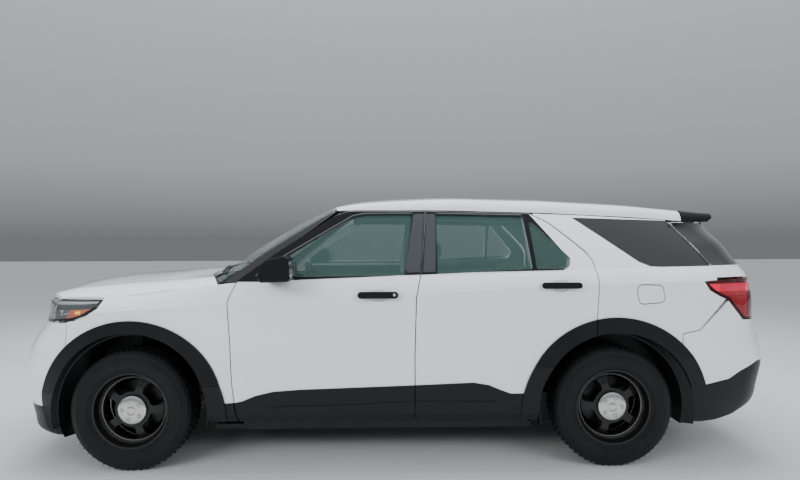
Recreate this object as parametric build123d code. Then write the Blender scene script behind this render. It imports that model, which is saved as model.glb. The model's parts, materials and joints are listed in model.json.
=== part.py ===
from build123d import *
import math
import os

os.makedirs("parts", exist_ok=True)

# A four-door patrol car with a liftgate, at its real size in millimetres.
# X runs from the nose (-X) to the tail (+X), Y to the right-hand side of a driver's view turned round,
# so the driver's side is -Y, and Z is up from the floor that the tyres stand on.
# Body panels are made on the +Y side and mirrored.

# Driving dimensions
LENGTH = 5050.0
WHEELBASE = 3025.0
FRONT_OVERHANG = 880.0
TRACK = 1700.0
TYRE_RADIUS = 376.0
TYRE_WIDTH = 250.0
RIM_RADIUS = 238.0
PANEL_GAP = 6.0
DOOR_SKIN = 12.0
DOOR_STEP = 16.0
GLASS = 5.0

X_NOSE = -LENGTH / 2
X_TAIL = LENGTH / 2
X_FRONT = X_NOSE + FRONT_OVERHANG
X_REAR = X_FRONT + WHEELBASE
Y_WHEEL = TRACK / 2
Z_WHEEL = TYRE_RADIUS
# Wheel openings in side view: centre x, centre z and radius of the black flare's outer edge, and of the opening
FRONT_FLARE = (X_FRONT - 4, 340.0, 597.0)
FRONT_ARCH = (X_FRONT - 10, 369.0, 490.0)
REAR_FLARE = (X_REAR + 16, 340.0, 605.0)
REAR_ARCH = (X_REAR + 20, 347.0, 502.0)
Z_SILL = 295.0
Z_CLAD = 350.0
SIDE_SPAN = 1300.0

# Side wall, one row for each station along the car. Half widths (y) and heights (z) of the feature lines:
# sill, cladding bulge, lower crease, waist hollow, shoulder crease, belt line and eave.
SIDE = [
    # x, sill_y, clad_y, crease_y, waist_y, shoulder_y, belt_y, eave_y, crease_z, shoulder_z, belt_z, eave_z
    (-2300, 780, 805, 838, 832, 800, 735, 690, 472, 945, 1058, 1627),
    (-2150, 848, 874, 906, 902, 876, 815, 694, 478, 962, 1066, 1627),
    (-1900, 885, 930, 956, 948, 928, 865, 698, 490, 984, 1074, 1627),
    (-1645, 897, 947, 973, 963, 952, 888, 700, 504, 1002, 1090, 1627),
    (-1040, 912, 955, 978, 958, 966, 922, 705, 536, 1030, 1168, 1629),
    (0, 918, 960, 984, 960, 974, 927, 705, 589, 1085, 1205, 1634),
    (1270, 912, 955, 980, 966, 973, 921, 680, 654, 1152, 1245, 1604),
    (1750, 890, 938, 962, 955, 956, 893, 650, 684, 1166, 1256, 1578),
    (2060, 862, 905, 930, 922, 920, 852, 622, 712, 1172, 1260, 1556),
    (2320, 790, 830, 858, 850, 842, 778, 590, 752, 1178, 1264, 1535),
]


def prism(points, y0=100.0, y1=SIDE_SPAN, radius=0.0, corners=None):
    """A side-view outline (x, z) run from y0 to y1."""
    face = outline(points, radius, corners)
    return Pos(0, y0, 0) * extrude(face, amount=y1 - y0, dir=(0, 1, 0))


def outline(points, radius=0.0, corners=None):
    """A flat face in the XZ plane with the chosen corners rounded."""
    wire = Polyline(*[(x, 0, z) for x, z in points], close=True)
    face = make_face(wire)
    if radius:
        picked = face.vertices()
        if corners is not None:
            spots = [points[i] for i in corners]
            picked = [v for v in picked if any(math.hypot(v.X - x, v.Z - z) < 1 for x, z in spots)]
        face = fillet(picked, radius)
    return face


def plan_prism(points, z0, z1):
    """A plan outline (x, y) run from z0 to z1."""
    return Pos(0, 0, z0) * extrude(make_face(Polyline(*[(x, y, 0) for x, y in points], close=True)), amount=z1 - z0)


def box(x0, x1, y0, y1, z0, z1):
    return Pos((x0 + x1) / 2, (y0 + y1) / 2, (z0 + z1) / 2) * Box(x1 - x0, y1 - y0, z1 - z0)


def both(shape):
    """The shape and its mirror image across the car."""
    return [shape, mirror(shape, about=Plane.XZ)]


def solids_of(*shapes):
    found = []
    for shape in shapes:
        for item in shape if isinstance(shape, (list, tuple)) else [shape]:
            found.extend(item.solids())
    return found


def save(name, *shapes):
    """Writes one node from all the solids of the shapes."""
    solids = solids_of(*shapes)
    node = solids[0] if len(solids) == 1 else Compound(children=[Solid(s.wrapped) for s in solids])
    export_step(node, f"parts/{name}.step")


def side_section(row, outer, inner):
    """One closed section of the side wall: outer and inner give how far each face is set in at
    the sill, belt and eave, as three numbers."""
    x, sill, clad, crease, waist, shoulder, belt, eave, crease_z, shoulder_z, belt_z, eave_z = row
    waist_z = (crease_z + shoulder_z) / 2 - 20

    def chain(set_in):
        low, mid, top = set_in
        bulge = 14
        middle = ((belt + eave) / 2 + bulge - (mid + top) / 2, (belt_z + eave_z) / 2)
        round_z = (shoulder_z + belt_z) / 2
        round_y = (shoulder + belt) / 2 + 7 - (low + mid) / 2
        points = [
            (sill - low, Z_SILL), (clad - low, Z_CLAD), (crease - low, crease_z),
            (waist - low, waist_z), (shoulder - low, shoulder_z),
            (round_y, round_z), (belt - mid, belt_z), middle, (eave - top, eave_z),
        ]
        return [Vector(x, y, z) for y, z in points]

    o = chain(outer)
    i = chain(inner)
    edges = [
        Edge.make_line(o[0], o[1]),
        Edge.make_line(o[1], o[2]),
        Edge.make_three_point_arc(o[2], o[3], o[4]),
        Edge.make_three_point_arc(o[4], o[5], o[6]),
        Edge.make_three_point_arc(o[6], o[7], o[8]),
        Edge.make_line(o[8], i[8]),
        Edge.make_three_point_arc(i[8], i[7], i[6]),
        Edge.make_three_point_arc(i[6], i[5], i[4]),
        Edge.make_three_point_arc(i[4], i[3], i[2]),
        Edge.make_line(i[2], i[1]),
        Edge.make_line(i[1], i[0]),
        Edge.make_line(i[0], o[0]),
    ]
    return Wire(edges)


def side_wall(outer, inner, rows=SIDE):
    """The side of the car between two depths below the paint."""
    return Solid.make_loft([side_section(row, outer, inner) for row in rows])



# Outlines in side view (x, z), read off the photograph and turned into real sizes
FRONT_DOOR = [
    (-990, 1170), (-1020, 1102), (-1038, 1050), (-1034, 941), (-1015, 622), (-997, 432), (-978, Z_SILL),
    (122, Z_SILL), (122, 685), (133, 1079), (161, 1212), (204.5, 1627), (-304, 1627), (-405, 1590),
]
REAR_DOOR = [
    (128, Z_SILL), (128, 685), (139, 1079), (167, 1212), (210.5, 1627), (905, 1612), (1024, 1544), (1126, 1454),
    (1230, 1355), (1266, 1300), (1279, 1220), (1281, 1149), (1270, 935), (1262, 820), (905, 380), (905, Z_SILL),
]
FRONT_WINDOW = [(-868, 1204), (-700, 1326), (-275, 1585), (-205, 1601), (118, 1603), (64, 1212)]
REAR_WINDOW = [(276, 1601), (858, 1590), (876, 1250), (268, 1222)]
REAR_QUARTERLIGHT = [(892, 1578), (1130, 1316), (1118, 1268), (1094, 1250), (902, 1250)]
SIDE_GLASS = [(1196, 1583), (1853, 1563), (2058, 1262), (1720, 1258), (1640, 1262), (1570, 1292)]
FUEL_DOOR = [(1522, 1152), (1690, 1147), (1712, 1038), (1540, 1026)]
FUEL_DOOR_CORNER = 34.0
HEAD_LAMP = [(-2320, 1061), (-1846, 1063), (-1869, 1015), (-1943, 964), (-2017, 937), (-2320, 905)]
HEAD_LAMP_TIP = [(-1899.5, 1062), (-1846, 1063), (-1869, 1015), (-1899.5, 995)]
TAIL_LAMP = [(1976, 1163), (2420, 1184), (2420, 905), (2268, 921), (2150, 1048), (2081, 1076), (2017, 1112)]
CLAD_TOP = [(-949, 436), (-867, 470), (-757, 496), (-592, 508), (99, 531), (488, 546), (585, 530), (655, 500), (724, 474)]


def moved(points, dx=0.0, dz=0.0):
    return [(x + dx, z + dz) for x, z in points]


def grown(points, amount, radius=0.0):
    """A side-view face grown (or shrunk) all round."""
    return offset(outline(points, radius), amount=amount, kind=Kind.INTERSECTION)


def grown_prism(points, amount, radius=0.0):
    return Pos(0, 100, 0) * extrude(grown(points, amount, radius), amount=SIDE_SPAN - 100, dir=(0, 1, 0))


def y_cylinder(x, z, radius, y0=100.0, y1=SIDE_SPAN):
    """A solid cylinder lying along Y."""
    return Pos(x, (y0 + y1) / 2, z) * Rot(90, 0, 0) * Cylinder(radius, y1 - y0)


def tube(start, end, radius):
    """A straight round bar between two points."""
    a, b = Vector(*start), Vector(*end)
    return Solid.make_cylinder(radius, (b - a).length, Plane(origin=a, z_dir=(b - a).normalized()))


def arc_y(low, middle, high, z):
    """The half width at a height on the arc through three (y, z) points."""
    (y1, z1), (y2, z2), (y3, z3) = low, middle, high
    d = 2 * (y1 * (z2 - z3) + y2 * (z3 - z1) + y3 * (z1 - z2))
    if abs(d) < 1e-3:
        return y1 + (y3 - y1) * (z - z1) / (z3 - z1)
    s1, s2, s3 = y1 * y1 + z1 * z1, y2 * y2 + z2 * z2, y3 * y3 + z3 * z3
    cy = (s1 * (z2 - z3) + s2 * (z3 - z1) + s3 * (z1 - z2)) / d
    cz = (s1 * (y3 - y2) + s2 * (y1 - y3) + s3 * (y2 - y1)) / d
    r = math.hypot(y1 - cy, z1 - cz)
    reach = math.sqrt(max(r * r - (z - cz) ** 2, 0.0))
    return cy + reach if y2 > cy else cy - reach


def side_y(x, z):
    """The half width of the side wall's paint at one station and height."""
    below = [row for row in SIDE if row[0] <= x]
    above = [row for row in SIDE if row[0] >= x]
    a = below[-1] if below else SIDE[0]
    b = above[0] if above else SIDE[-1]
    t = 0.0 if a[0] == b[0] else (x - a[0]) / (b[0] - a[0])
    _, sill, clad, crease, waist, shoulder, belt, eave, crease_z, shoulder_z, belt_z, eave_z = [
        p + (q - p) * t for p, q in zip(a, b)
    ]
    if z < Z_SILL:
        return sill - (Z_SILL - z) * 0.2
    if z < Z_CLAD:
        return sill + (clad - sill) * (z - Z_SILL) / (Z_CLAD - Z_SILL)
    if z < crease_z:
        return clad + (crease - clad) * (z - Z_CLAD) / (crease_z - Z_CLAD)
    if z < shoulder_z:
        return arc_y((crease, crease_z), (waist, (crease_z + shoulder_z) / 2 - 20), (shoulder, shoulder_z), z)
    if z < belt_z:
        middle = ((shoulder + belt) / 2 + 7, (shoulder_z + belt_z) / 2)
        return arc_y((shoulder, shoulder_z), middle, (belt, belt_z), z)
    middle = ((belt + eave) / 2 + 14, (belt_z + eave_z) / 2)
    return arc_y((belt, belt_z), middle, (eave, eave_z), min(z, eave_z)) - max(z - eave_z, 0) * 0.8


# Nose and tail: plan-view crescents lofted upwards. Each row is a height, the centreline, the end of
# the flat face (x, y), the corner's middle (x, y) and the corner's end (x, y).
NOSE = [
    # z, centre_x, face_x, face_y, corner_x, corner_y, end_x, end_y
    (180, -2345, -2300, 600, -2236, 742, -2150, 815),
    (229, -2425, -2372, 600, -2302, 746, -2195, 832),
    (290, -2482, -2428, 600, -2362, 750, -2240, 845),
    (405, -2510, -2442, 600, -2376, 752, -2256, 852),
    (520, -2524, -2456, 600, -2388, 763, -2259, 865),
    (628, -2532, -2464, 600, -2394, 765, -2262, 867),
    (735, -2525, -2455, 600, -2386, 763, -2258, 861),
    (812, -2512, -2406, 600, -2322, 748, -2220, 842),
    (900, -2500, -2372, 600, -2284, 738, -2185, 832),
    (1064, -2476, -2330, 590, -2240, 716, -2140, 812),
]
NOSE_SEAM = -1900.0
TAIL = [
    # z, centre_x, face_x, face_y, corner_x, corner_y, end_x, end_y
    (250, 2400, 2375, 600, 2310, 758, 2190, 846),
    (390, 2505, 2465, 600, 2392, 768, 2250, 858),
    (590, 2518, 2491, 600, 2434, 779, 2288, 877),
    (672, 2525, 2498, 600, 2440, 780, 2290, 878),
    (750, 2516, 2486, 600, 2426, 774, 2278, 874),
    (860, 2476, 2446, 600, 2392, 770, 2254, 866),
    (1000, 2464, 2438, 600, 2390, 764, 2254, 858),
    (1190, 2450, 2422, 600, 2380, 748, 2240, 838),
]
GATE = [
    # z, centre_x, face_x, face_y, corner_x, corner_y, end_x, end_y
    (790, 2486, 2452, 600, 2400, 772, 2260, 868),
    (1000, 2464, 2438, 600, 2390, 764, 2254, 858),
    (1180, 2454, 2426, 600, 2384, 748, 2242, 840),
    (1262, 2400, 2370, 590, 2322, 724, 2186, 802),
    (1420, 2308, 2280, 520, 2226, 662, 2102, 736),
    (1610, 2176, 2150, 430, 2090, 545, 1985, 606),
]
TAIL_SEAM = 1750.0
END_SECTIONS = 10
ROOF_SECTIONS = 14


def crescent(row, seam_x, outer, inner):
    """One plan section of the nose or tail between two depths below the paint."""
    z, centre_x, face_x, face_y, corner_x, corner_y, end_x, end_y = row
    out = 1 if seam_x > 0 else -1
    middle_x = (end_x + seam_x) / 2

    def half(d):
        points = [
            (centre_x - out * d, 0), (face_x - out * d, face_y - d * 0.1),
            (corner_x - out * d * 0.8, corner_y - d * 0.6), (end_x - out * d * 0.5, end_y - d),
            (middle_x, side_y(middle_x, z) + 4 - d), (seam_x, side_y(seam_x, z) - d),
        ]
        return [Vector(x, y, z) for x, y in points], [Vector(x, -y, z) for x, y in points]

    p, q = half(outer)
    r, s = half(inner)
    return Wire([
        Edge.make_three_point_arc(q[5], q[4], q[3]),
        Edge.make_three_point_arc(q[3], q[2], q[1]),
        Edge.make_three_point_arc(q[1], p[0], p[1]),
        Edge.make_three_point_arc(p[1], p[2], p[3]),
        Edge.make_three_point_arc(p[3], p[4], p[5]),
        Edge.make_line(p[5], r[5]),
        Edge.make_three_point_arc(r[5], r[4], r[3]),
        Edge.make_three_point_arc(r[3], r[2], r[1]),
        Edge.make_three_point_arc(r[1], r[0], s[1]),
        Edge.make_three_point_arc(s[1], s[2], s[3]),
        Edge.make_three_point_arc(s[3], s[4], s[5]),
        Edge.make_line(s[5], q[5]),
    ])


def evenly(rows, count):
    """The table read at evenly spaced heights, which keeps the loft through it free of waves."""
    low, high = rows[0][0], rows[-1][0]
    found = []
    for k in range(count):
        z = low + (high - low) * k / (count - 1)
        a, b = [(p, q) for p, q in zip(rows, rows[1:]) if p[0] <= z + 1e-6 and z - 1e-6 <= q[0]][0]
        t = (z - a[0]) / (b[0] - a[0])
        found.append(tuple(p + (q - p) * t for p, q in zip(a, b)))
    return found


def end_wall(rows, seam_x, outer, inner):
    """The nose or tail as a curved wall between two depths."""
    return Solid.make_loft([crescent(row, seam_x, outer, inner) for row in evenly(rows, END_SECTIONS)])


# Roof and hood: arched sections across the car, one row for each station
ROOF = [
    # x, edge_y, edge_z, brow_y, brow_z, crown_z
    (-560, 684, 1560, 596, 1590, 1640),
    (-380, 703, 1632, 606, 1650, 1702),
    (-130, 704, 1635, 614, 1692, 1738),
    (330, 704, 1634, 614, 1716, 1755),
    (1000, 692, 1616, 602, 1700, 1740),
    (1570, 660, 1590, 574, 1671, 1710),
    (1985, 628, 1562, 546, 1636, 1674),
]
HOOD = [
    # x, edge_y, edge_z, brow_y, brow_z, crown_z
    (-2490, 700, 898, 560, 938, 1016),
    (-2420, 730, 962, 570, 1010, 1083),
    (-2300, 768, 1030, 585, 1076, 1127),
    (-2150, 806, 1068, 605, 1114, 1155),
    (-1900, 854, 1077, 640, 1143, 1178),
    (-1645, 877, 1093, 660, 1164, 1197),
    (-1370, 892, 1126, 677, 1183, 1209),
    (-1080, 908, 1165, 690, 1197, 1217),
]
SPOILER = [
    # x, edge_y, edge_z, brow_y, brow_z, crown_z
    (1992, 626, 1568, 544, 1637, 1673),
    (2115, 606, 1574, 530, 1620, 1656),
    (2238, 560, 1584, 500, 1606, 1634),
]


def arched(row, outer, inner, sideways):
    """One section across the roof or hood; sideways turns the depth at the edges inwards, not down."""
    x, edge_y, edge_z, brow_y, brow_z, crown_z = row

    def half(k):
        points = [
            (edge_y - k * sideways, edge_z - k * (1 - sideways)),
            ((edge_y + brow_y) / 2 + 16 - k * 0.8 * sideways, (edge_z + brow_z) / 2 + 15 - k * (1 - 0.5 * sideways)),
            (brow_y - k * 0.4 * sideways, brow_z - k),
            (0, crown_z - k),
        ]
        return [Vector(x, y, z) for y, z in points], [Vector(x, -y, z) for y, z in points]

    p, q = half(outer)
    r, s = half(inner)
    return Wire([
        Edge.make_three_point_arc(q[0], q[1], q[2]),
        Edge.make_three_point_arc(q[2], p[3], p[2]),
        Edge.make_three_point_arc(p[2], p[1], p[0]),
        Edge.make_line(p[0], r[0]),
        Edge.make_three_point_arc(r[0], r[1], r[2]),
        Edge.make_three_point_arc(r[2], r[3], s[2]),
        Edge.make_three_point_arc(s[2], s[1], s[0]),
        Edge.make_line(s[0], q[0]),
    ])


def arched_panel(rows, outer, inner, sideways=0.0):
    return Solid.make_loft([arched(row, outer, inner, sideways) for row in rows])


WINDSHIELD = [
    # z, centre_x, corner_x, corner_y
    (1166, -1301, -1136, 799),
    (1400, -985, -790, 745),
    (1690, -440, -314, 640),
]
SCREEN_DEPTH = 14.0


def screen_section(row, depth):
    z, centre_x, corner_x, corner_y = row
    middle = centre_x + (corner_x - centre_x) * 0.26
    half = corner_y * 0.5

    def curve(d, flip):
        ends = [(corner_x + d, -corner_y * flip), (centre_x + d, 0), (corner_x + d, corner_y * flip)]
        return [Vector(x, y, z) for x, y in ends]

    a = curve(0, 1)
    b = curve(depth, -1)
    return Wire([
        Edge.make_three_point_arc(*a), Edge.make_line(a[2], b[0]),
        Edge.make_three_point_arc(*b), Edge.make_line(b[2], a[0]),
    ])


def bent_plan(points_front, points_back, z0, z1):
    """A plan shape between two arcs, each given by its end, middle and other end (x, y)."""
    f = [Vector(x, y, z0) for x, y in points_front]
    b = [Vector(x, y, z0) for x, y in points_back]
    wire = Wire([
        Edge.make_three_point_arc(*f), Edge.make_line(f[2], b[2]),
        Edge.make_three_point_arc(b[2], b[1], b[0]), Edge.make_line(b[0], f[0]),
    ])
    return extrude(Face(wire), amount=z1 - z0, dir=(0, 0, 1))


# Where each hinge and king pin stands
FRONT_HINGE = (-975.0, 968.0)
REAR_HINGE = (180.0, 968.0)
KING_PIN_Y = 790.0


def opening(circle, grow=0.0, y0=100.0):
    """A wheel opening's circle, run through the side of the car."""
    x, z, radius = circle
    return y_cylinder(x, z, radius + grow, y0)


def clad_region():
    """Everything below the top edge of the black cladding, in side view."""
    points = [(-1100, 420), (-985, 428)] + CLAD_TOP + [(860, 474), (1270, 474), (1270, 250), (-1100, 250)]
    return prism(points)


def handle(x, z, length, height):
    """A pull handle: a bar on two feet over a shallow oval cup. Returns the handle and the cup's cut."""
    y = side_y(x, z)
    bar = Pos(x, y + 26, z) * Rot(90, 0, 0) * extrude(SlotOverall(length, height * 0.8), amount=9, both=True)
    feet = [Pos(x + s * (length / 2 - 18), y + 8, z) * Box(20, 32, 18) for s in (-1, 1)]
    cup = Pos(x, y + 2, z) * Rot(90, 0, 0) * extrude(SlotOverall(length * 0.42, 88), amount=10, both=True)
    whole = bar + feet[0] + feet[1]
    return whole, cup


FRONT_BAND = [
    (-995, 1176), (-837, 1176), (-550, 1190), (-262, 1200), (66, 1214), (161, 1216), (203.5, 1626), (-304, 1626),
    (-405, 1590), (-770, 1345),
]
REAR_BAND = [
    (168, 1216), (517, 1231), (1003, 1241), (1072, 1243), (1108, 1262), (1128, 1294), (1116, 1320), (905, 1611),
    (211.5, 1626),
]
BAND_OUT = 2.0


def window_band(shape, *windows):
    """The thin black cover stuck on the door round its glass."""
    band = side_wall((-BAND_OUT,) * 3, (-0.1,) * 3) & prism(shape)
    for window in windows:
        band = band - window
    return max(band.solids(), key=lambda piece: piece.volume)


# The groove pressed along the cladding, one length on each door
FRONT_GROOVE = [(-811, 397), (-742, 428), (-557, 439), (110, 458), (110, 430), (-279, 411)]
REAR_GROOVE = [(140, 459), (560, 470), (638, 440), (622, 424), (140, 431)]


def cladding(shape, groove):
    """The black cover along the foot of a door, with its groove."""
    cover = side_wall((-5, -5, -5), (5, 5, 5)) & clad_region() & shape
    return cover - (side_wall((-9, -9, -9), (-1.5, -1.5, -1.5)) & prism(groove, radius=8))


def front_door():
    skin = side_wall((0, 0, 0), (DOOR_SKIN,) * 3) & prism(FRONT_DOOR)
    core = side_wall((6, 6, 6), (110, 70, 45)) & grown_prism(FRONT_DOOR, -DOOR_STEP)
    window = prism(FRONT_WINDOW, radius=14)
    door = skin + core - window
    grip, cup = handle(-104, 1095, 252, 52)
    glass = side_wall((7, 7, 7), (12, 12, 12)) & window
    cover = cladding(prism(FRONT_DOOR), FRONT_GROOVE)
    door = door - (side_wall((-9, -9, -9), (5, 5, 5)) & clad_region())
    band = window_band(FRONT_BAND, window) - door_mirror()
    return door - cup - grip, glass, [cover, grip, band]


def rear_door():
    arch = opening(REAR_ARCH)
    skin = side_wall((0, 0, 0), (DOOR_SKIN,) * 3) & (prism(REAR_DOOR) - opening(REAR_FLARE))
    core_shape = grown_prism(REAR_DOOR, -DOOR_STEP) - opening(REAR_ARCH, DOOR_STEP)
    core = side_wall((6, 6, 6), (110, 70, 45)) & core_shape
    main = prism(REAR_WINDOW, radius=14)
    small = prism(REAR_QUARTERLIGHT, radius=14)
    door = skin + core - main - small
    pane = side_wall((7, 7, 7), (12, 12, 12))
    flare_front = side_wall((-12, -12, -12), (5.9, 5.9, 5.9)) & (prism(REAR_DOOR) & opening(REAR_FLARE)) - arch
    sill_part = prism(REAR_DOOR) - opening(REAR_FLARE)
    cover = cladding(sill_part, REAR_GROOVE)
    door = door - (side_wall((-9, -9, -9), (5, 5, 5)) & clad_region())
    grip, cup = handle(1041, 1150, 250, 48)
    band = window_band(REAR_BAND, main, small)
    return door - cup - grip, [pane & main, pane & small], [cover, flare_front, grip, band]


MIRROR = [(-812, 1218), (-792, 1292), (-762, 1320), (-658, 1343), (-628, 1326), (-620, 1200), (-640, 1190), (-795, 1186)]


def door_mirror():
    shell = prism(MIRROR, 984, 1152, radius=14)
    shell = fillet(shell.faces().sort_by(Axis.Y)[-1].edges(), 11)
    arm = prism([(-800, 1184), (-650, 1184), (-672, 1216), (-760, 1216)], 918, 1030)
    return shell + arm


FENDER = [
    (-996, 1168), (-1026, 1102), (-1044, 1050), (-1040, 941), (-1021, 622), (-1003, 432), (-986, Z_SILL),
    (-2057, Z_SILL), (-2057, 925), (-2010, 933), (-1937, 960), (-1863, 1010), (-1840, 1060), (-1838, 1077),
    (-1645, 1089), (-1300, 1133), (-1040, 1166),
]


def fender():
    shape = prism(FENDER) - opening(FRONT_FLARE) - clad_region()
    return (side_wall((0, 0, 0), (8, 5, 5)) & shape) - hood_space()


def flares():
    """The black lips of the wheel openings that stay on the body, with the strip ahead of the front door."""
    lip = side_wall((-12, -12, -12), (26, 26, 26))
    front_span = prism([(-2290, 1100), (-988, 1100), (-988, Z_SILL), (-1700, Z_SILL), (-1700, 388), (-2290, 388)])
    front = lip & ((opening(FRONT_FLARE) - opening(FRONT_ARCH)) & front_span)
    strip_shape = prism([(-1100, 418), (-1005, 425), (-986, Z_SILL), (-1100, Z_SILL)]) - opening(FRONT_FLARE)
    strip = side_wall((-5, -5, -5), (8, 8, 8)) & strip_shape
    rear_span = prism([
        (1279, 1100), (1276, 935), (1268, 815), (1268, Z_SILL), (1640, Z_SILL), (1640, 470), (1860, 489), (1996, 516),
        (2080, 533), (2080, 1100),
    ])
    rear = lip & ((opening(REAR_FLARE) - opening(REAR_ARCH)) & rear_span)
    return front + strip, rear


QUARTER = [
    (1268, 700), (1276, 935), (1287, 1149), (1285, 1220), (1272, 1303), (1236, 1361), (1132, 1460), (1029, 1550),
    (935, 1600), (935, 1611), (1300, 1597), (1860, 1566), (2066, 1256), (2062, 1175), (1969, 1168), (2009, 1110),
    (2076, 1072), (2124, 1052), (1934, 862), (1819, 840), (1819, 700),
]


def quarter():
    """The rear wing with its window recess, on the +Y side."""
    wall = side_wall((0, 0, 0), (55, 55, 50)) & (prism(QUARTER) - opening(REAR_FLARE))
    recess = side_wall((-30, -30, -30), (7, 7, 7)) & prism(SIDE_GLASS)
    wall = wall - recess - grown_prism(SIDE_GLASS, -36)
    glass = side_wall((1, 1, 1), (6.9, 6.9, 6.9)) & prism(SIDE_GLASS)
    return wall, glass


def pillars():
    """A pillar, B pillar and roof rail of the +Y side, inboard of the doors."""
    a_rows = [
        (1166, [(-1108, 812), (-999, 916), (-992, 842), (-1078, 772)]),
        (1400, [(-770, 756), (-680, 826), (-674, 764), (-745, 718)]),
        (1626, [(-402, 668), (-385, 700), (-366, 650), (-376, 628)]),
    ]
    a_post = Solid.make_loft([Wire.make_polygon([Vector(x, y, z) for x, y in p]) for z, p in a_rows])
    b_post = side_wall((140, 92, 52), (200, 150, 104)) & prism([(60, 331), (200, 331), (230, 1626), (120, 1626)])
    rail_low = side_wall((200, 120, 52), (260, 180, 100))
    rail_low = rail_low & prism([(-362, 1572), (-362, 1625), (1300, 1606), (1300, 1548), (300, 1568)])
    hinge_post = side_wall((9, 6, 6), (190, 150, 120))
    hinge_shape = [(-1104, 1128), (-1022, 1128), (-1046, 1050), (-1042, 941), (-1023, 622), (-1005, 432), (-994, 331)]
    hinge_post = hinge_post & (prism(hinge_shape + [(-1104, 331)]) - opening(FRONT_ARCH, 2))
    hinge_post = hinge_post - side_wall((-30, -30, -30), (27, 8, 8)) - liner_space()
    return a_post, b_post, rail_low, hinge_post


def roof_front(back_by=0.0):
    """Everything ahead of the roof's curved front edge."""
    edge = [(-366 + back_by, -740), (-494 + back_by, 0), (-366 + back_by, 740)]
    return bent_plan(edge, [(-900, -740), (-902, 0), (-900, 740)], 1400, 1900)


def roof():
    return arched_panel(evenly(ROOF, ROOF_SECTIONS), 0, 25, 1.0) - roof_front()


def hood_plan(inset=0.0):
    """The hood's outline from above."""
    x0, x1 = -2466 + inset, -1336 - inset
    half = [(x0, 0), (-2330 + inset, 586), (-2240 + inset, 708), (-2150, 800), (-1120 - inset, 900)]
    f = [Vector(x, y, 0) for x, y in half]
    g = [Vector(x, -y, 0) for x, y in half]
    rear = Edge.make_three_point_arc(f[4], Vector(x1, 0, 0), g[4])
    wide = [Vector(-2150, 960, 0), Vector(-1120 - inset, 960, 0)]
    narrow = [Vector(v.X, -960, 0) for v in wide]
    edges = [
        Edge.make_three_point_arc(g[1], f[0], f[1]), Edge.make_three_point_arc(f[1], f[2], f[3]),
        Edge.make_line(f[3], wide[0]), Edge.make_line(wide[0], wide[1]), Edge.make_line(wide[1], f[4]),
        rear, Edge.make_line(g[4], narrow[1]), Edge.make_line(narrow[1], narrow[0]),
        Edge.make_line(narrow[0], g[3]), Edge.make_three_point_arc(g[3], g[2], g[1]),
    ]
    return extrude(Face(Wire(edges)), amount=700, dir=(0, 0, 1)).moved(Location((0, 0, 700)))


def hood():
    return arched_panel(HOOD, 0, 28) & hood_plan()


def hood_space():
    """The hood and the shut gap round it, to cut from what lies under and beside it."""
    rows = [(x, edge_y + 5, edge_z, brow_y, brow_z, crown_z) for x, edge_y, edge_z, brow_y, brow_z, crown_z in HOOD]
    return arched_panel(rows, -300, 28 + PANEL_GAP)


FRONT_COVER = [
    (-2063, 919), (-2320, 897), (-2560, 940), (-2560, 385), (-2063, 385),
]
REAR_COVER = [
    (1824, 835), (1937, 856), (2138, 1030), (2152, 1038), (2266, 912), (2560, 896), (2560, 648), (2361, 642),
    (2227, 586), (2147, 540), (1996, 513), (1860, 486), (1824, 479),
]
REAR_SKIRT = [
    (1824, 478), (1860, 485), (1996, 512), (2147, 539), (2227, 585), (2361, 641), (2560, 647), (2560, 463), (2459, 463),
    (2412, 388), (2387, 370), (2205, 300), (2072, 265), (1975, 253), (1824, 270),
]


def across(points):
    """A side-view outline run across the whole car."""
    return prism(points, -SIDE_SPAN, SIDE_SPAN)


def nose_parts():
    """Front cover, skirt, grille and lamps, cut from one curved wall."""
    space = hood_space()
    wall = end_wall(NOSE, NOSE_SEAM, 0, 40)
    wheels = opening(FRONT_FLARE, 0.0, -SIDE_SPAN)
    cover = (wall & across(FRONT_COVER)) - space - wheels
    mouth = box(-2600, -2300, -548, 548, 560, 1100)
    intake = box(-2600, -2300, -430, 430, 430, 520)
    cover = cover - mouth - intake
    skirt = (wall & box(-2600, -2000, -1000, 1000, 180, 384.5)) - opening(FRONT_ARCH, 0.0, -SIDE_SPAN)
    skirt = skirt & across([(-2063, 384), (-2600, 384), (-2600, 150), (-2063, 200)])
    frame = end_wall(NOSE, NOSE_SEAM, 16, 36) & box(-2600, -2300, -548, 548, 560, 1060)
    slots = [box(-2600, -2300, -510, 510, z, z + 52) for z in range(598, 940, 76)]
    grille = frame - space
    for slot in slots:
        grille = grille - slot
    grille = grille & box(-2600, -2300, -548, 548, 560, 1008)
    lower = end_wall(NOSE, NOSE_SEAM, 18, 34) & box(-2600, -2300, -430, 430, 430, 520)
    lamp_wall = end_wall(NOSE, NOSE_SEAM, 0, 60) & across(HEAD_LAMP)
    lamps = (lamp_wall & box(-2600, -1700, 556, 1000, 800, 1070)) - space
    tip = (side_wall((0, 0, 0), (60, 60, 60)) & prism(HEAD_LAMP_TIP)) - space
    return cover, skirt, [grille, lower], [both(lamps), both(tip)]


def tail_parts():
    wall = end_wall(TAIL, TAIL_SEAM, 0, 40)
    wheels = opening(REAR_FLARE, 0.0, -SIDE_SPAN)
    gate_gap = box(2000, 2600, -652, 652, 784, 1400)
    cover = (wall & across(REAR_COVER)) - wheels - gate_gap
    skirt = (wall & across(REAR_SKIRT)) - opening(REAR_ARCH, 0.0, -SIDE_SPAN)
    lamp_wall = end_wall(TAIL, TAIL_SEAM, 0, 60) & across(TAIL_LAMP)
    lamps = lamp_wall & box(1900, 2600, 652, 1000, 880, 1200)
    return cover, skirt, both(lamps)


GATE_SIDE = [
    (2072, 1190), (2600, 1190), (2600, 1554), (1878, 1552), (2072, 1260),
]
GATE_GLASS = [(2072, 1264), (2600, 1264), (2600, 1550), (1882, 1548)]


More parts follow.
